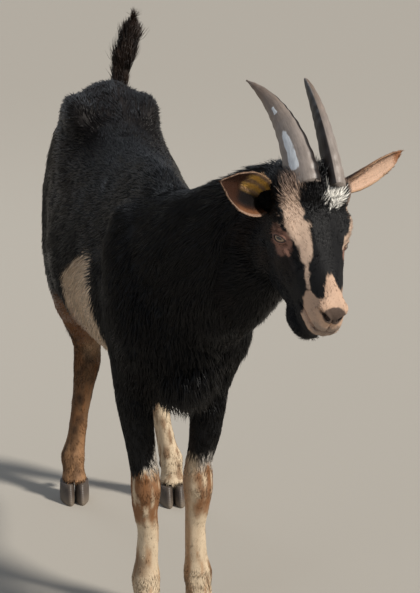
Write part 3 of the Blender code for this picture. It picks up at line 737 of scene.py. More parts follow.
def trunk_colour(body):
    """Black, browner over the rump, with a pale torn patch on the right flank and under the belly."""
    x, y, z = body.T
    ragged = (mottle(body, 1.4, 7) - 0.5) * 1.6 + (mottle(body, (0.6, 0.6, 1.5), 15) - 0.5) * 1.2
    top = np.interp(y, (-13, -10, -8.5, -5, -2.5, -1, 4), (40, 44.6, 45.6, 45.6, 44.0, 42.0, 37.5))
    back = np.interp(z, (31, 34, 37, 40, 44), (7, 3.4, 0.8, -0.6, -2.0))
    front = np.interp(z, (32, 38, 42, 45), (-13.0, -11.7, -10.6, -9.0))
    patch = fade(z + ragged, top - 0.4, top + 0.5) * fade(y + ragged, back - 0.6, back + 0.8)
    patch = patch * ramp(y + ragged * 0.5, front - 0.3, front + 0.3) * (x < -2)
    under = fade(z + ragged * 0.6, 32.4, 34.0) * ramp(y + ragged, -9.0, -6.0)
    pale = np.maximum(patch, under)
    return laid(
        BLACK,
        (BROWN_BLACK, mottle(body, 6.0, 8) * ramp(y, -5, 22) * 0.8),
        (PALE_TAN, pale),
        (FLANK_CREAM, pale * (0.55 + 0.45 * ramp(mottle(body, 3.0, 9), 0.35, 0.8))),
        (FLANK_BROWN, pale * ramp(y + 1.2 * (38 - z) + ragged * 1.5, -3.0, 3.5) * 0.85),
    )


FACE_STRIPE = [(2.2, -2.0, 5.5), (2.75, -1.3, 4.4), (2.85, -0.1, 3.2), (2.75, 1.8, 2.6), (2.15, 3.5, 1.9),
               (2.0, 5.0, 1.3), (2.05, 6.5, 0.6), (2.15, 8.2, -0.5)]  # fmt: skip
STRIPE_HALF = (0.85, 1.05, 0.95, 1.25, 0.95, 0.58, 0.34, 0.22)
STRIPE_CHANGE = {"right": ((0, 0, 0), 1.0), "left": ((1.35, 0.0, -0.9), 0.6)}  # moved, narrowed
MOUTH = [(2.2, 8.8, -2.9), (2.0, 10.2, -3.0), (1.6, 11.5, -3.15), (0.8, 12.1, -3.5), (0, 12.15, -3.75)]
NOSTRIL = [(1.4, 11.6, -1.0), (1.05, 12.0, -1.15), (0.55, 12.25, -1.6)]
NOSE_PAD = (0.0, 12.15, -1.1)


def head_colour(local):
    """Black with a tan stripe from each horn over the eye, a tan muzzle and a white forelock."""
    ragged = (mottle(local, (0.35, 0.8, 0.6), 10) - 0.5) * 0.7
    ragged = ragged + (mottle(local, (0.16, 0.5, 0.4), 16) - 0.5) * 0.4
    x, y, z = local.T
    wide = abs(x)
    brown = ramp(wide, 2.4, 3.6) * fade(z, -0.5, 1.5) * ramp(mottle(local, 1.6, 17), 0.15, 0.75)
    colour = laid(BLACK, (BROWN_BLACK, brown))
    for side, sign in SIDES.items():
        moved, narrowed = STRIPE_CHANGE[side]
        far, share = off_line(local, (np.array(FACE_STRIPE) + moved) * (sign, 1, 1))
        half = np.interp(share * (len(STRIPE_HALF) - 1), np.arange(len(STRIPE_HALF)), STRIPE_HALF) * narrowed
        tan = fade(far + ragged, half - 0.10, half + 0.22) * (x * sign > 0)
        eye = from_ball(local, np.array((4.0, 2.3, 0.35)) * (sign, 1, 1), (1.5, 2.1, 1.35))
        smoky = fade(y + ragged, -1.6, 0.2) * (0.45 + 0.5 * mottle(local, 0.5, 18))
        colour = laid(
            colour,
            (EYE_PINK, fade(eye + ragged * 0.5, 0.82, 1.1) * 0.95),
            (FACE_TAN, tan),
            (HORN_EDGE_BROWN, tan * smoky),
        )
    # the muzzle, with the blaze reaching into it in two prongs
    prong = 8.3 + 2.4 * eased(1 - abs(x + 1.25) / 0.85) + 1.4 * eased(1 - abs(x - 0.9) / 0.9)
    top = ramp(y + ragged * 1.3, prong - 0.2, prong + 0.25)
    flank = ramp(y + ragged + 0.35 * (z + 1.0), 8.3, 8.8)
    lowest = -3.5 - 0.8 * (1 - wide / 1.9).clip(0, 1) - 0.3 * ramp(y, 8, 10)
    muzzle = np.where(z > -0.7, top, flank) * ramp(z + ragged * 0.5, lowest - 0.15, lowest + 0.15)
    lip = ramp(y, 11.2, 11.9) * fade(z + ragged, -2.9, -2.2) * muzzle
    (mouth, _), (slit, _) = (off_line(np.column_stack((wide, y, z)), line) for line in (MOUTH, NOSTRIL))
    pad = from_ball(local, NOSE_PAD, (1.30, 0.85, 1.0))
    white = from_ball(local, (1.6, -0.1, 4.8), (1.15, 1.2, 1.2))
    drip = (mottle(local, (0.3, 3.0, 3.0), 11) - 0.45) * 1.3 * ramp(y, -0.9, 0.4)
    return laid(
        colour,
        (MUZZLE_TAN, muzzle),
        (LIP_GREY, lip * 0.8),
        (MOUTH_BLACK, fade(mouth, 0.06, 0.16) * ramp(y, 8.6, 9.6)),
        (NOSE_GREY, fade(pad + ragged * 0.2, 0.9, 1.1)),
        (NOSTRIL_BLACK, fade(slit, 0.14, 0.30)),
        (FORELOCK_WHITE, fade(white - drip + ragged * 0.4, 0.80, 1.1)),
    )


def coat_colour(points, parts):
    """The colour of the coat at points of the frame that lie on the named parts."""
    body = in_body(points)
    colour = trunk_colour(body)
    for side in SIDES:
        for pair, rule in (("foreleg", foreleg_colour), ("hindleg", hindleg_colour)):
            upper, lower = (parts == f"{pair}_{side}_{part}" for part in ("upper", "lower"))
            share = lower + upper * fade(body[:, 2], 33, 36)
            where = share > 0
            if where.any():
                made = rule(body[where], side)
                colour[where] += (made - colour[where]) * share[where, None]
    head = parts == "head"
    if head.any():
        colour[head] = head_colour(in_head(points[head]))
    tail = parts == "tail"
    shade = mottle(body[tail], (0.6, 0.6, 2.0), 12)
    colour[tail] = laid(BLACK, (TAIL_BROWN, shade))
    return colour


def carry(data, name, values, kind="FLOAT", field="value"):
    """Stores a number, or the kind of value that is given, for each vertex of a mesh."""
    kept = data.attributes.new(name, kind, "POINT")
    kept.data.foreach_set(field, values.astype(np.float32).ravel())


def carry_tint(data, colours):
    carry(data, "tint", np.column_stack((colours, np.ones(len(colours)))), "FLOAT_COLOR", "color")


def off_nose(local):
    """The distance from the bare pad of the nose, where 1 is its edge."""
    return from_ball(local, NOSE_PAD, (1.25, 0.85, 0.95))


skin.data.vertices.foreach_set("co", skin_points.ravel())
skin.data.update()
skin.data.shade_smooth()
carry_tint(skin.data, coat_colour(skin_points, skin_parts))
wet = fade(off_nose(in_head(skin_points)), 0.85, 1.1)
carry(skin.data, "wet", wet * (skin_parts == "head"))


# ---------------- the hide's leather
# Materials are sums of wires. The leather takes its tint from the markings, is wet on the nose, and
# has the finest down of the face and ears as a bump.


class Wire:
    """A value on its way through a material's nodes, so that sums of shading read as sums."""

    def __init__(self, tree, socket=None):
        self.tree, self.socket = tree, socket

    def node(self, kind, values, output=0, **settings):
        """Adds a node: its settings first, then values or wires for its sockets by name or place."""
        made = self.tree.nodes.new(kind)
        for name, value in settings.items():
            setattr(made, name, value)
        feed(made, values)
        return Wire(self.tree, made.outputs[output])

    def attribute(self, name, output=2):
        return self.node("ShaderNodeAttribute", {}, output, attribute_name=name)

    def place(self):
        return self.node("ShaderNodeTexCoord", {}, 3)

    def noise(self, scale, detail, roughness=0.5):
        values = {"Vector": self, "Scale": scale, "Detail": detail, "Roughness": roughness}
        return self.node("ShaderNodeTexNoise", values)

    def spread(self, low, high):
        """This value as a share of the way from low to high."""
        return self.node("ShaderNodeMapRange", {"Value": self, "From Min": low, "From Max": high})

    def bump(self, distance, strength):
        values = {"Height": self, "Distance": distance, "Strength": strength}
        return self.node("ShaderNodeBump", values)

    def split(self):
        parts = self.node("ShaderNodeSeparateXYZ", {"Vector": self}).socket.node
        return [Wire(self.tree, output) for output in parts.outputs]

    def radius(self, other):
        """How far off the middle a place is that has this value and the other for its two measures."""
        both = self.node("ShaderNodeCombineXYZ", {"X": self, "Y": other})
        return self.node("ShaderNodeVectorMath", {0: both}, 1, operation="LENGTH")

    def maths(self, operation, one, two):
        return self.node("ShaderNodeMath", {0: one, 1: two}, operation=operation)

    def __add__(self, other):
        return self.maths("ADD", self, other)

    __radd__ = __add__

    def __mul__(self, other):
        return self.maths("MULTIPLY", self, other)

    def __rsub__(self, other):
        return self.maths("SUBTRACT", other, self)

    def shaded(self, colour):
        """A colour darkened or lightened by this value."""
        return self.node("ShaderNodeVectorMath", {0: colour, "Scale": self}, operation="SCALE")

    def mixed(self, one, two):
        """Colour one where this value is 0 and colour two where it is 1."""
        return self.node("ShaderNodeMix", {0: self, 6: one, 7: two}, 2, data_type="RGBA")


def feed(node, values):
    """Sets or links a node's sockets, by name or place."""
    for name, value in values.items():
        if isinstance(value, Wire):
            node.id_data.links.new(value.socket, node.inputs[name])
        else:
            node.inputs[name].default_value = value


def new_material(name):
    material = bpy.data.materials.new(name)
    material.use_nodes = True
    return material, Wire(material.node_tree)


def paint(material, **values):
    """Gives the material's shader values or wires, named as its sockets are."""
    shader = material.node_tree.nodes["Principled BSDF"]
    feed(shader, {name.replace("_", " "): value for name, value in values.items()})


hide_leather, wire = new_material("hide")
down, grime = wire.place().noise(900, 3, 0.6), wire.place().noise(60, 4)
paint(
    hide_leather,
    Base_Color=(0.6 + down * 0.5 + grime * 0.25).shaded(wire.attribute("tint", 0)),
    Roughness=0.62 - wire.attribute("wet") * 0.34 + down * 0.08,
    Normal=down.bump(0.0006, 0.6),
    Specular_IOR_Level=0.25,
)
skin.data.materials.clear()
skin.data.materials.append(hide_leather)


# ---------------- the whole hide
# The ears have colours and a lie of their own. They are then joined to the hide as one mesh, whose
# unwrap the coat's patches share, and hair that would run into a hollow is lifted out of it.

EAR_BROWN = (0.040, 0.014, 0.006)
EAR_TAN = (0.50, 0.315, 0.195)
# straw-yellow hair in ridges, its own colour brightened as painted sunlight
EAR_STRAW_SUNLIT = (0.90, 0.56, 0.13)
EAR_PINK = (0.64, 0.43, 0.31)
EAR_HOLLOW_SHADE = (0.006, 0.004, 0.004)
# near black: painted shade deep in the right ear's hollow, near the root
EAR_RUST = (0.17, 0.070, 0.030)
EAR_RIM = (0.44, 0.30, 0.22)
# painted shade that the upper rim casts into the left ear's hollow
EAR_SHADE = (0.24, 0.115, 0.06)
EAR_TIP = (0.30, 0.13, 0.06)
EAR_BACK = (0.34, 0.18, 0.10)
EAR_EDGE = (0.30, 0.18, 0.11)


def ear_colour(side, share, upward, inner):
    """Colours by the share along an ear, the share across it (1 is its upper edge) and its face."""
    outside = laid(EAR_BROWN, (BROWN_BLACK, fade(share, 0.1, 0.5)))
    rim = ramp(abs(upward), 0.84, 0.95)
    if side == "right":
        wall = fade(share, 0.50, 0.66) * ramp(upward, -0.05, 0.15)
        dark_and_shade = band(share, 0.06, 0.16, 0.55, 0.72) * fade(upward, -0.02, 0.12)
        hollow = laid(
            EAR_BROWN,
            (EAR_TAN, wall),
            # straw-yellow ridges of hair, painted brighter where the sun lights them
            (EAR_STRAW_SUNLIT, wall * ramp(np.cos(upward * 17 + 1.0), -0.7, 0.0)),
            # painted shade deep in the hollow near the root
            (EAR_HOLLOW_SHADE, dark_and_shade * ramp(upward, -0.62, -0.40)),
            (EAR_RUST, fade(upward, -0.75, -0.6) * fade(share, 0.6, 0.8)),
            (EAR_RIM, rim * 0.8),
        )
    else:
        hollow = laid(
            EAR_PINK,
            # painted shade under the upper rim
            (EAR_SHADE, ramp(upward, 0.35, 0.60) * 0.8),
            (EAR_TIP, ramp(share, 0.84, 0.92)),
            (EAR_TAN, rim * fade(share, 0.8, 0.9)),
        )
        outside = laid(outside, (EAR_BACK, ramp(share, 0.3, 0.6) * 0.8))
    return np.where(inner[:, None], hollow, laid(outside, (EAR_EDGE, rim * 0.6)))


ear_tints, ear_lies, ear_parts = [], [], []
for side, ear in ears.items():
    across = len(EAR_TURN)
    inner = np.tile(np.arange(2 * across) >= across, EAR_ROWS)
    share = np.repeat(np.linspace(0, 1, EAR_ROWS), 2 * across)
    upward = np.tile(np.concatenate((EAR_TURN, EAR_TURN[::-1])), EAR_ROWS) * SIDES[side]
    ear_tints.append(ear_colour(side, share, upward, inner))
    carry_tint(ear.data, ear_tints[-1])
    carry(ear.data, "wet", np.zeros(len(share)))
    ear.data.materials.append(hide_leather)
    wall = inner * fade(share, 0.5, 0.7) * ramp(upward, -0.1, 0.2)
    length = np.where(inner, 0.32 + 0.55 * wall, 0.50)
    flow = unit(np.gradient(from_head(ear_shell(side)), axis=0)).reshape(-1, 3)
    ear_lies.append(np.column_stack((flow, length, np.where(inner, 9 + 3 * wall, 9), 0 * share)))
    ear_parts.append(np.where(share > 0.12, f"ear_{side}", "ear_root"))

bpy.ops.object.select_all(action="DESELECT")
for ear in ears.values():
    ear.select_set(True)
skin.select_set(True)
bpy.context.view_layer.objects.active = skin
bpy.ops.object.join()
bpy.ops.object.mode_set(mode="EDIT")
bpy.ops.mesh.select_all(action="SELECT")
bpy.ops.uv.smart_project(angle_limit=1.15, island_margin=0.003)
bpy.ops.object.mode_set(mode="OBJECT")
skin.data.uv_layers[0].name = "OFBake"
skin_points, skin_triangles = vertices_of(skin.data), triangles_of(skin.data)
skin_normals = normals_of(skin_points, skin_triangles)
skin_lie = np.concatenate((skin_lie, *ear_lies))
skin_parts = np.concatenate((skin_parts, *ear_parts))
hide_count = len(skin_points) - sum(map(len, ear_tints))  # the points that are not on an ear
skin_tints = np.concatenate((np.zeros((hide_count, 3)), *ear_tints))
skin_flow = flat_on(skin_lie[:, :3], skin_normals)


def hollow_along_flow():
    """How fast the hide turns up ahead of each point along its hair, in radians a centimetre."""
    start, end = read(skin.data.edges, "vertices", 2, np.int32).T
    step = (skin_points[end] - skin_points[start]) / CM
    turn = ((skin_normals[end] - skin_normals[start]) * step).sum(1) / (step**2).sum(1).clip(1e-6)
    total, weight = np.zeros(len(skin_points)), np.full(len(skin_points), 1e-6)
    for here in (start, end):
        share = ((unit(step) * skin_flow[here]).sum(1)) ** 4
        np.add.at(total, here, -turn * share)
        np.add.at(weight, here, share)
    bend = total / weight
    for _ in range(6):
        bend = bend * 0.5 + neighbours_mean(bend[:, None], np.column_stack((start, end)))[:, 0] * 0.5
    return bend.clip(0, 0.35)


lifted = np.degrees(hollow_along_flow() * skin_lie[:, 3] * 0.62)
skin_lie[:hide_count, 4] += lifted[:hide_count]
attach(skin, "root")
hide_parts(*FLESH, "ear_right", "ear_left")


# ---------------- the coat
# Locks of hair over the whole hide, each a slim solid with a ridge and a point. They are rooted in
# the skin, lie along the combed flow and turn together in wisps, as a clean goat's coat does.

coat_hair, wire = new_material("hair")
strand = wire.place().noise(420, 2)
paint(
    coat_hair,
    Base_Color=(0.55 + wire.attribute("along") * 0.45 + strand * 0.30).shaded(wire.attribute("tint", 0)),
    Roughness=0.30 + strand * 0.16,
    Specular_IOR_Level=0.27,
)

triangle_area = 0.5 * np.linalg.norm(crossed(skin_points, skin_triangles), axis=1)
triangle_part = skin_parts[skin_triangles[:, 0]]
triangle_middle = skin_points[skin_triangles].mean(1)
triangle_chart = read(skin.data.uv_layers["OFBake"].uv, "vector", 2)[triangles_of(skin.data, "loops")]
# A lock's section is two edges and a ridge. It comes at the root and half way, and then the point.
LOCK_SECTION = ((-0.5, 0.0), (0.5, 0.0), (0.0, 0.42))
LOCK_GIRTHS = (0.75, 0.9)
LOCK_FACES = [(0, 1, 4, 3), (1, 2, 5, 4), (2, 0, 3, 5), (3, 4, 6), (4, 5, 6), (5, 3, 6), (2, 1, 0)]
LOCK_RISES = (0.875, 0.45)  # how much of its rise the two halves of a lock have
PATCH_HALF = 0.0013
LOCK_PATCH = np.array([(k - 1, v) for v in (-0.75, 0) for k in range(3)] + [(0, 0.75)]) * PATCH_HALF
ROOT_SUNK = (0.04, 0.0002)  # a share of the lock's length, and metres


def rooted(where, spacing, seed):
    """Roots scattered evenly over the chosen triangles: which triangle, and the place in it."""
    rng = np.random.default_rng(seed)
    chosen = np.where(where)[0]
    room = np.cumsum(triangle_area[chosen]) / (spacing * CM) ** 2
    count = int(room[-1])
    marks = (np.arange(count) + rng.random(count)) * room[-1] / count
    triangle = chosen[np.searchsorted(room, marks).clip(0, len(chosen) - 1)]
    one, two = rng.random((2, count))
    over = one + two > 1
    one, two = np.where(over, 1 - one, one), np.where(over, 1 - two, two)
    return triangle, np.column_stack((1 - one - two, one, two))


def hair_mesh(name, root, out, flow, length, width, rise, colour, chart_at, seed):
    """Locks as one mesh. All sizes here are in metres and angles in radians, one for each lock."""
    count, corners = len(root), len(LOCK_PATCH)
    side = np.cross(out, flow)
    sway = np.random.default_rng(seed).normal(0, 0.10, count)

    def step(way, share_of_rise):
        """Half a lock's length along the way, lifted off the skin by a share of its rise."""
        bend = rise * share_of_rise
        return (way * np.cos(bend)[:, None] + out * np.sin(bend)[:, None]) * (length * 0.5)[:, None]

    at = root - out * (ROOT_SUNK[0] * length[:, None] + ROOT_SUNK[1])
    points = np.zeros((count, corners, 3))
    for k, girth in enumerate(LOCK_GIRTHS):
        if k:
            at = at + step(unit(flow + side * sway[:, None]), LOCK_RISES[0])
        thick = (width * girth)[:, None]
        for j, (across, up) in enumerate(LOCK_SECTION):
            points[:, k * 3 + j] = at + side * (across * thick) + out * (up * thick)
    points[:, -1] = at + step(flow, LOCK_RISES[1])
    corner = (np.arange(count)[:, None] * corners + np.concatenate(LOCK_FACES)).ravel()
    totals = np.tile([len(face) for face in LOCK_FACES], count)
    data = bpy.data.meshes.new(name)
    data.vertices.add(count * corners)
    data.vertices.foreach_set("co", points.ravel())
    data.loops.add(len(corner))
    data.loops.foreach_set("vertex_index", corner)
    data.polygons.add(len(totals))
    data.polygons.foreach_set("loop_start", np.cumsum(totals) - totals)
    data.update(calc_edges=True)
    data.shade_smooth()
    patch = chart_at[:, None] + LOCK_PATCH
    layer = data.uv_layers.new(name="OFBake")
    layer.uv.foreach_set("vector", patch.reshape(-1, 2)[corner].astype(np.float32).ravel())
    carry_tint(data, np.repeat(colour, corners, axis=0))
    carry(data, "along", np.tile((0, 0, 0, 0.5, 0.5, 0.5, 1.0), count))
    data.materials.append(coat_hair)
    thing = linked(name, data)
    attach(thing, "root")


def grow(name, where, spacing, width, seed):
    """A piece of the coat on the chosen triangles, from the lie, length and markings of the hide."""
    triangle, share = rooted(where, spacing, seed)
    rng = np.random.default_rng(seed + 100)
    part = triangle_part[triangle]

    def of_skin(values):
        return (values[skin_triangles[triangle]] * share[..., None]).sum(1)

    def varied(low, spread):
        return low + spread * rng.random(len(root))

    root, out, lie = of_skin(skin_points), unit(of_skin(skin_normals)), of_skin(skin_lie)
    flow = flat_on(of_skin(skin_flow), out)
    wisp = (mottle(root, 1.1 * CM, seed) - 0.5) * 0.8 + (mottle(root, 3.5 * CM, seed + 1) - 0.5) * 0.6
    turn = wisp + rng.normal(0, 0.12, len(root))
    flow = flow * np.cos(turn)[:, None] + np.cross(out, flow) * np.sin(turn)[:, None]
    length = lie[:, 3] * CM * varied(0.75, 0.5)
    stand = 0.75 + 0.6 * mottle(root, 0.9 * CM, seed + 2)
    rise = np.radians(lie[:, 4]) * stand * varied(0.7, 0.6)
    on_ear = np.char.startswith(part, "ear")[:, None]
    colour = np.where(on_ear, of_skin(skin_tints), coat_colour(root, part))
    colour = colour * (0.72 + 0.56 * rng.random(len(root)) ** 1.5)[:, None]
    wide = width * CM * varied(0.75, 0.5)
    chart_at = (triangle_chart[triangle] * share[..., None]).sum(1)
    hair_mesh(name, root, out, flow, length, wide, rise, colour, chart_at, seed + 200)


body_middle, head_middle = in_body(triangle_middle), in_head(triangle_middle)
for half, on_half in (("right", body_middle[:, 0] < -1.5), ("left", body_middle[:, 0] >= -1.5)):
    for end, on_end in (("front", body_middle[:, 1] < 3), ("rear", body_middle[:, 1] >= 3)):
        where = (triangle_part == "trunk") & on_half & on_end
        grow(f"coat_barrel_{half}_{end}", where, 0.31, 0.15, seed=11 + len(half) + 7 * len(end))
grow("coat_neck", triangle_part == "neck", 0.29, 0.15, seed=13)
for number, side in enumerate(SIDES):
    for pair in ("foreleg", "hindleg"):
        upper, lower = (triangle_part == f"{pair}_{side}_{part}" for part in ("upper", "lower"))
        high = body_middle[:, 2] > 29
        grow(f"coat_{pair}_{side}_upper", upper & high, 0.30, 0.15, seed=20 + number)
        grow(f"coat_{pair}_{side}_lower", lower | (upper & ~high), 0.22, 0.085, seed=30 + number)
    grow(f"coat_ear_{side}", triangle_part == f"ear_{side}", 0.16, 0.085, seed=60 + number)
grow("coat_tail", triangle_part == "tail", 0.15, 0.10, seed=41)
bare = off_nose(head_middle) < 0.95
for sign in SIDES.values():
    _, radius, faced, across, _, opening = from_eye(head_middle, sign)
    by_lids = (opening > -math.radians(5)) & (abs(across) < LID_CORNER * 1.15)
    bare |= by_lids & (radius < 1.7) & (faced > 0)
face = (triangle_part == "head") & ~bare
front_face = head_middle[:, 1] > 1.0
grow("coat_face", face & front_face, 0.14, 0.06, seed=51)
grow("coat_head_back", face & ~front_face, 0.19, 0.12, seed=52)


# ---------------- the eyes
# A wet globe with an amber iris, the goat's level slot of a pupil, and a clear cornea that
# stands a little proud. The globe is sunk behind the lids, whose dark margins are pieces of their own.

GLOBE_RADIUS = 1.29
MARGIN_RADIUS, MARGIN_HALF = 1.34, 0.085
IRIS_AMBER = (0.22, 0.12, 0.06, 1), (0.52, 0.36, 0.22, 1)
IRIS_EDGE = (0.035, 0.016, 0.010, 1)
PUPIL_BLACK = (0.004, 0.004, 0.005, 1)
LID_BROWN = (0.020, 0.010, 0.008, 1), (0.060, 0.028, 0.022, 1)

eye_wet, wire = new_material("eye")
gaze = wire.attribute("gaze", 1)
level, upward, _ = gaze.split()
iris = level.radius(upward).spread(0.54, 0.66).mixed(gaze.noise(14.0, 3).mixed(*IRIS_AMBER), IRIS_EDGE)
paint(
    eye_wet,
    Base_Color=(level * 0.36).radius(upward).spread(0.12, 0.16).mixed(PUPIL_BLACK, iris),
    Roughness=0.06,
    Coat_Weight=1.0,
    Coat_Roughness=0.02,
)

for side, sign in SIDES.items():
    look, front, above = eye_axes(sign)
    mesh = bmesh.new()
    bmesh.ops.create_uvsphere(mesh, u_segments=72, v_segments=48, radius=1.0)
    way = np.array([vert.co for vert in mesh.verts])
    cornea = 0.05 * eased((way[:, 2] - 0.84) / 0.16)
    seen = way[:, :1] * front + way[:, 1:2] * above + way[:, 2:] * look
    places = from_head(EYE_AT * (sign, 1, 1) + seen * (GLOBE_RADIUS + cornea)[:, None])
    for vert, point in zip(mesh.verts, places):
        vert.co = point
    globe = meshed(f"eyeball_{side}", mesh, eye_wet)
    carry(globe.data, "gaze", way * GLOBE_RADIUS, "FLOAT_VECTOR", "vector")
    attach(globe, "root")
    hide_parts(f"eye_{side}")

lid_skin, wire = new_material("lid_margin")
pore = wire.place().noise(700, 2)
paint(lid_skin, Base_Color=pore.mixed(*LID_BROWN), Roughness=0.30 + pore * 0.15)

for side, sign in SIDES.items():
    look, front, above = eye_axes(sign)
    level, upward = oval(64, 1)
    across = LID_CORNER * level
    raised = (np.sign(upward) * lid_height(across, upward > 0))[:, None]
    ahead = np.cos(across)[:, None] * look + np.sin(across)[:, None] * front
    out = np.cos(raised) * ahead + np.sin(raised) * above
    line = out * MARGIN_RADIUS
    over = np.cross(unit(np.roll(line, -1, axis=0) - np.roll(line, 1, axis=0)), out)
    a, b = (share[:, None] for share in oval(10, 1))
    tube = MARGIN_HALF * (a * out[:, None] + b * over[:, None])
    rings = from_head(EYE_AT * (sign, 1, 1) + line[:, None] + tube)
    margin = ringed(f"lid_margin_{side}", rings, lid_skin, endless=True)
    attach(margin, "root")


# ---------------- the horns
# Grey-brown keratin grown in rings, with a blunt keel in front. A pale blue-white patch on the flat of the
# right one is a painted reflection of the sky. The left one's inner side is painted shade, the right one
# is darker along its rear edge, and both are browner towards the tips.

HORN_LENGTH, HORN_SUNK = 16.0, 0.10  # the part in the skull is a share of the length
HORN_ROWS, HORN_POINTS = 120, 48
HORN_GREY = (0.170, 0.140, 0.122, 1), (0.370, 0.315, 0.280, 1)
HORN_BROWN = (0.120, 0.080, 0.058, 1), (0.250, 0.180, 0.130, 1)
# near black: painted shade over the left horn's inner side, and a darker rear edge on the right one
HORN_DARK_AND_SHADE = (0.016, 0.011, 0.009, 1)
# painted reflection of the sky, laid pale blue-white on the flat of the right horn
HORN_SKY_REFLECTION = (0.72, 0.75, 0.78, 1)

horn_keratin, wire = new_material("horn")
fibre, cloud = wire.attribute("grain", 1).noise(7.0, 5, 0.7), wire.place().noise(60, 4)
aged = (wire.attribute("along") + cloud * 0.3).spread(0.45, 1.0)
# painted shade over the left horn's inner side, and a darker rear edge on the right one
dark_and_shade = (wire.attribute("edge") + fibre * 0.2).spread(0.55, 0.95)
# a painted reflection of the sky on the flat of the right horn
sky_reflection = (wire.attribute("sky_reflection") + cloud * 0.9 + fibre * 0.35).spread(1.05, 1.2)
keratin = dark_and_shade.mixed(aged.mixed(cloud.mixed(*HORN_GREY), cloud.mixed(*HORN_BROWN)), HORN_DARK_AND_SHADE)
paint(
    horn_keratin,
    Base_Color=(0.35 + fibre * 1.25).shaded(sky_reflection.mixed(keratin, HORN_SKY_REFLECTION)),
    Roughness=0.34 + cloud * 0.22,
    Normal=fibre.bump(0.0008, 0.5),
)

for side, sign in SIDES.items():
    foot, leans, (spread_foot, spread_gain), twist, half_depth, half_width, thinning = HORNS[side]
    start, end, twist = (math.radians(angle) for angle in (*leans, twist))
    round_a, round_b = oval(HORN_POINTS, 1)
    a, b = oval(HORN_POINTS, 2 / 2.3)
    a = a * (1 - 0.28 * np.maximum(b, 0) ** 2)
    at = np.array(foot)
    shares = np.linspace(-HORN_SUNK, 1, HORN_ROWS)
    rings, dark_and_shaded_edge, sky_reflection_patch, grain_at = [], [], [], []
    for share in shares:
        grown = max(share, 0)
        lean = start + (end - start) * grown
        way = unit((spread_foot + spread_gain * grown, -math.cos(lean), math.sin(lean)))
        step = HORN_LENGTH * (1 + HORN_SUNK) / (HORN_ROWS - 1) if rings else -HORN_LENGTH * HORN_SUNK
        at = at + way * step
        outward = np.array((sign, 0.0, 0.0))
        across = unit(outward - way * (outward @ way))
        front = np.cross(way, across) * -sign
        keel = front * math.cos(twist) - across * math.sin(twist)
        flat = across * math.cos(twist) + front * math.sin(twist)
        taper = max(0.045, (1 - grown) ** thinning)
        ridge = 0.045 * math.sin(share * 58 + 1.5 * math.sin(share * 13)) * (1 - 0.75 * grown)
        half, deep = half_width * taper + ridge * 0.7, half_depth * taper + ridge
        rings.append(at + flat * (half * a)[:, None] + keel * (deep * b)[:, None])
        grain_at.append(np.column_stack((round_a, round_b, np.full(HORN_POINTS, share * 1.3))))
        if side == "right":
            # the right horn is darker along its rear edge
            dark_and_shaded_edge.append(ramp(-b, 0.92, 1.0))
            # on the right horn's flat, a pale patch that is a painted reflection of the sky
            across_patch = 1 - abs(b + 0.02 - 0.10 * share) / (0.46 - 0.35 * grown)
            along_patch = float(band(share, -0.03, 0.04, 0.25, 0.42) + 0.8 * (abs(share - 0.54) < 0.035))
            sky_reflection_patch.append(across_patch.clip(0, 1) ** 0.5 * along_patch * (a > 0))
        else:
            # the left horn's inner side is painted shade
            dark_and_shaded_edge.append(fade(a, -0.22 - 0.35 * share, 0.05 - 0.35 * share))
            sky_reflection_patch.append(0 * a)
    horn = ringed(f"horn_{side}_keratin", from_head(rings), horn_keratin)
    carry(horn.data, "along", np.repeat(shares.clip(0, 1), HORN_POINTS))
    carry(horn.data, "edge", np.concatenate(dark_and_shaded_edge))
    carry(horn.data, "sky_reflection", np.concatenate(sky_reflection_patch))
    carry(horn.data, "grain", np.concatenate(grain_at), "FLOAT_VECTOR", "vector")
    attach(horn, "root")
    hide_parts(f"horn_{side}")


# ---------------- the hooves
# Two claws to a foot with flat soles and a sloping front wall, and two dewclaws behind each
# fetlock. The wall is grey-brown horn with growth rings, scuffed and dusty towards the ground.

# the rings of a claw: height, half width, toe, heel
CLAW_RINGS = [
    (0.0, 0.94, 3.04, 2.04), (0.06, 1.0, 3.1, 2.1), (0.5, 1.05, 3.05, 2.2), (1.0, 1.06, 2.84, 2.2),
    (1.6, 1.05, 2.55, 2.15), (2.2, 1.02, 2.22, 2.08), (2.9, 0.98, 1.9, 2.0),
]  # fmt: skip
DEWCLAW_AT = (0.95, 2.35, 4.8)  # from the foot: outwards, behind, and up from the ground
WALL_BROWN = (0.035, 0.026, 0.022, 1), (0.120, 0.092, 0.072, 1)
DUST = (0.34, 0.27, 0.20, 1)

hoof_horn, wire = new_material("hoof")
place = wire.node("ShaderNodeNewGeometry", {})
height, grain = place.split()[2], place.noise(220, 4)
bands = wire.node("ShaderNodeMath", {0: height * 2600 + grain * 5}, operation="SINE")
dust = (height + grain * 0.012).spread(0.022, 0.004)
paint(
    hoof_horn,
    Base_Color=(dust * 0.55).mixed(grain.mixed(*WALL_BROWN), DUST),
    Roughness=0.45 + dust * 0.3,
    Normal=(bands * 0.3 + grain).bump(0.0006, 0.5),
)


def claw_rings(foot, sign):
    x, y = foot
    a, b = oval(40, 0.8)
    ahead = np.maximum(b, 0)
    rings = []
    for height, width, toe, heel in CLAW_RINGS:
        across = width * a * (1 - 0.45 * ahead**2) - sign * 0.25 * ahead
        along = y - 1.3 - np.where(b > 0, toe, heel) * b
        rings.append(np.column_stack((x + sign * 1.12 + across, along, np.full(len(a), height))))
    return placed(rings)


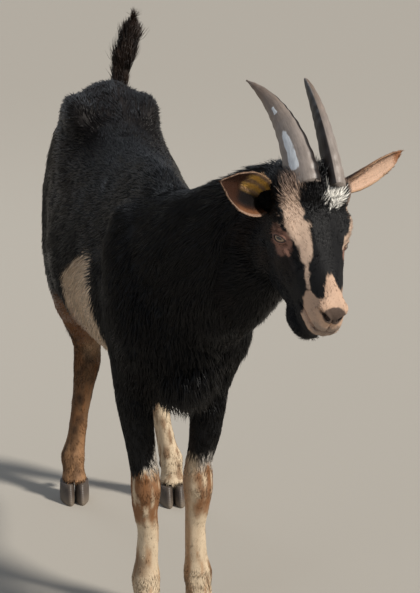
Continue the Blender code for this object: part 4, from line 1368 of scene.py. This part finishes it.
def dewclaw_ball(foot, sign):
    mesh = bmesh.new()
    bmesh.ops.create_uvsphere(mesh, u_segments=24, v_segments=16, radius=1.0)
    turn = Matrix.Rotation(math.radians(-28), 3, "X")
    out, behind, up = DEWCLAW_AT
    for vert in mesh.verts:
        size = Vector((0.55, 0.62, 0.95)) * (1 - 0.12 * max(0.0, -vert.co.z))
        local = turn @ Vector([c * s for c, s in zip(vert.co, size)])
        vert.co = placed(Vector((foot[0] + sign * out, foot[1] + behind, up)) + local)
    return mesh


for pair, feet in (("foreleg", FORE_FEET), ("hindleg", HIND_FEET)):
    for side, foot in feet.items():
        for which, sign in (("outer", SIDES[side]), ("inner", -SIDES[side])):
            claw = ringed(f"{pair}_{side}_hoof_{which}", claw_rings(foot, sign), hoof_horn)
            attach(claw, "root")
            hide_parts(f"{pair}_{side}_claw_{which}")
            dewclaw = meshed(f"{pair}_{side}_spur_{which}", dewclaw_ball(foot, sign), hoof_horn)
            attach(dewclaw, "root")
            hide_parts(f"{pair}_{side}_dewclaw_{which}")


# ---------------- floor, light and camera
# A plain pale floor, a softened key from high on the goat's left front, a weak fill from its
# right and a rim light from behind.

FLOOR_SIZE = 200
SKY = (0.80, 0.88, 1.0, 1)
SKY_STRENGTH = 0.28
CAMERA_ANGLES = (-9.4, 15.1)  # round the goat from its front, and up from level
CAMERA_FAR = 2.60
CAMERA_AIM = (6.4, -10.0, 40.4)

floor_paint, _ = new_material("floor")
paint(floor_paint, Base_Color=(0.41, 0.38, 0.335, 1), Roughness=0.9)
mesh = bmesh.new()
bmesh.ops.create_grid(mesh, x_segments=1, y_segments=1, size=FLOOR_SIZE)
floor = meshed("floor", mesh, floor_paint)
floor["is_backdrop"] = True

world = bpy.data.worlds.new("studio")
bpy.context.scene.world = world
world.use_nodes = True
feed(world.node_tree.nodes["Background"], {"Color": SKY, "Strength": SKY_STRENGTH})


def turned(thing, way):
    """Points a lamp's or camera's own view along the way."""
    thing.rotation_mode = "QUATERNION"
    thing.rotation_quaternion = way.to_track_quat("-Z", "Y")


def lamp(name, kind, spot, aim, size, power, colour):
    light = bpy.data.lights.new(name, kind)
    light.energy, light.color = power, colour
    if kind == "SUN":
        light.angle = size
    else:
        light.shape, light.size = "DISK", size
    holder = linked(name, light)
    holder.location = spot
    turned(holder, Vector(aim) - Vector(spot))


lamp("key", "SUN", (2.2, -1.7, 3.0), (0, 0, 0.35), 0.14, 3.9, (1.0, 0.95, 0.87))
lamp("fill", "AREA", (-2.4, -2.2, 1.6), (0, 0, 0.35), 1.6, 7, (0.85, 0.92, 1.0))
lamp("rim", "AREA", (-0.8, 2.4, 2.2), (0, 0, 0.45), 1.2, 9, (0.88, 0.94, 1.0))
bpy.context.scene.view_settings.view_transform = "Standard"

camera = linked("camera", bpy.data.cameras.new("camera"))
bpy.context.scene.camera = camera
azimuth, elevation = (math.radians(angle) for angle in CAMERA_ANGLES)
level = math.cos(elevation)
back = Vector((math.sin(azimuth) * level, -math.cos(azimuth) * level, math.sin(elevation)))
camera.location = Vector(placed(CAMERA_AIM)) + back * CAMERA_FAR
turned(camera, -back)
camera.data.sensor_width = 36
camera.data.lens = 122.87

low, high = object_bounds()
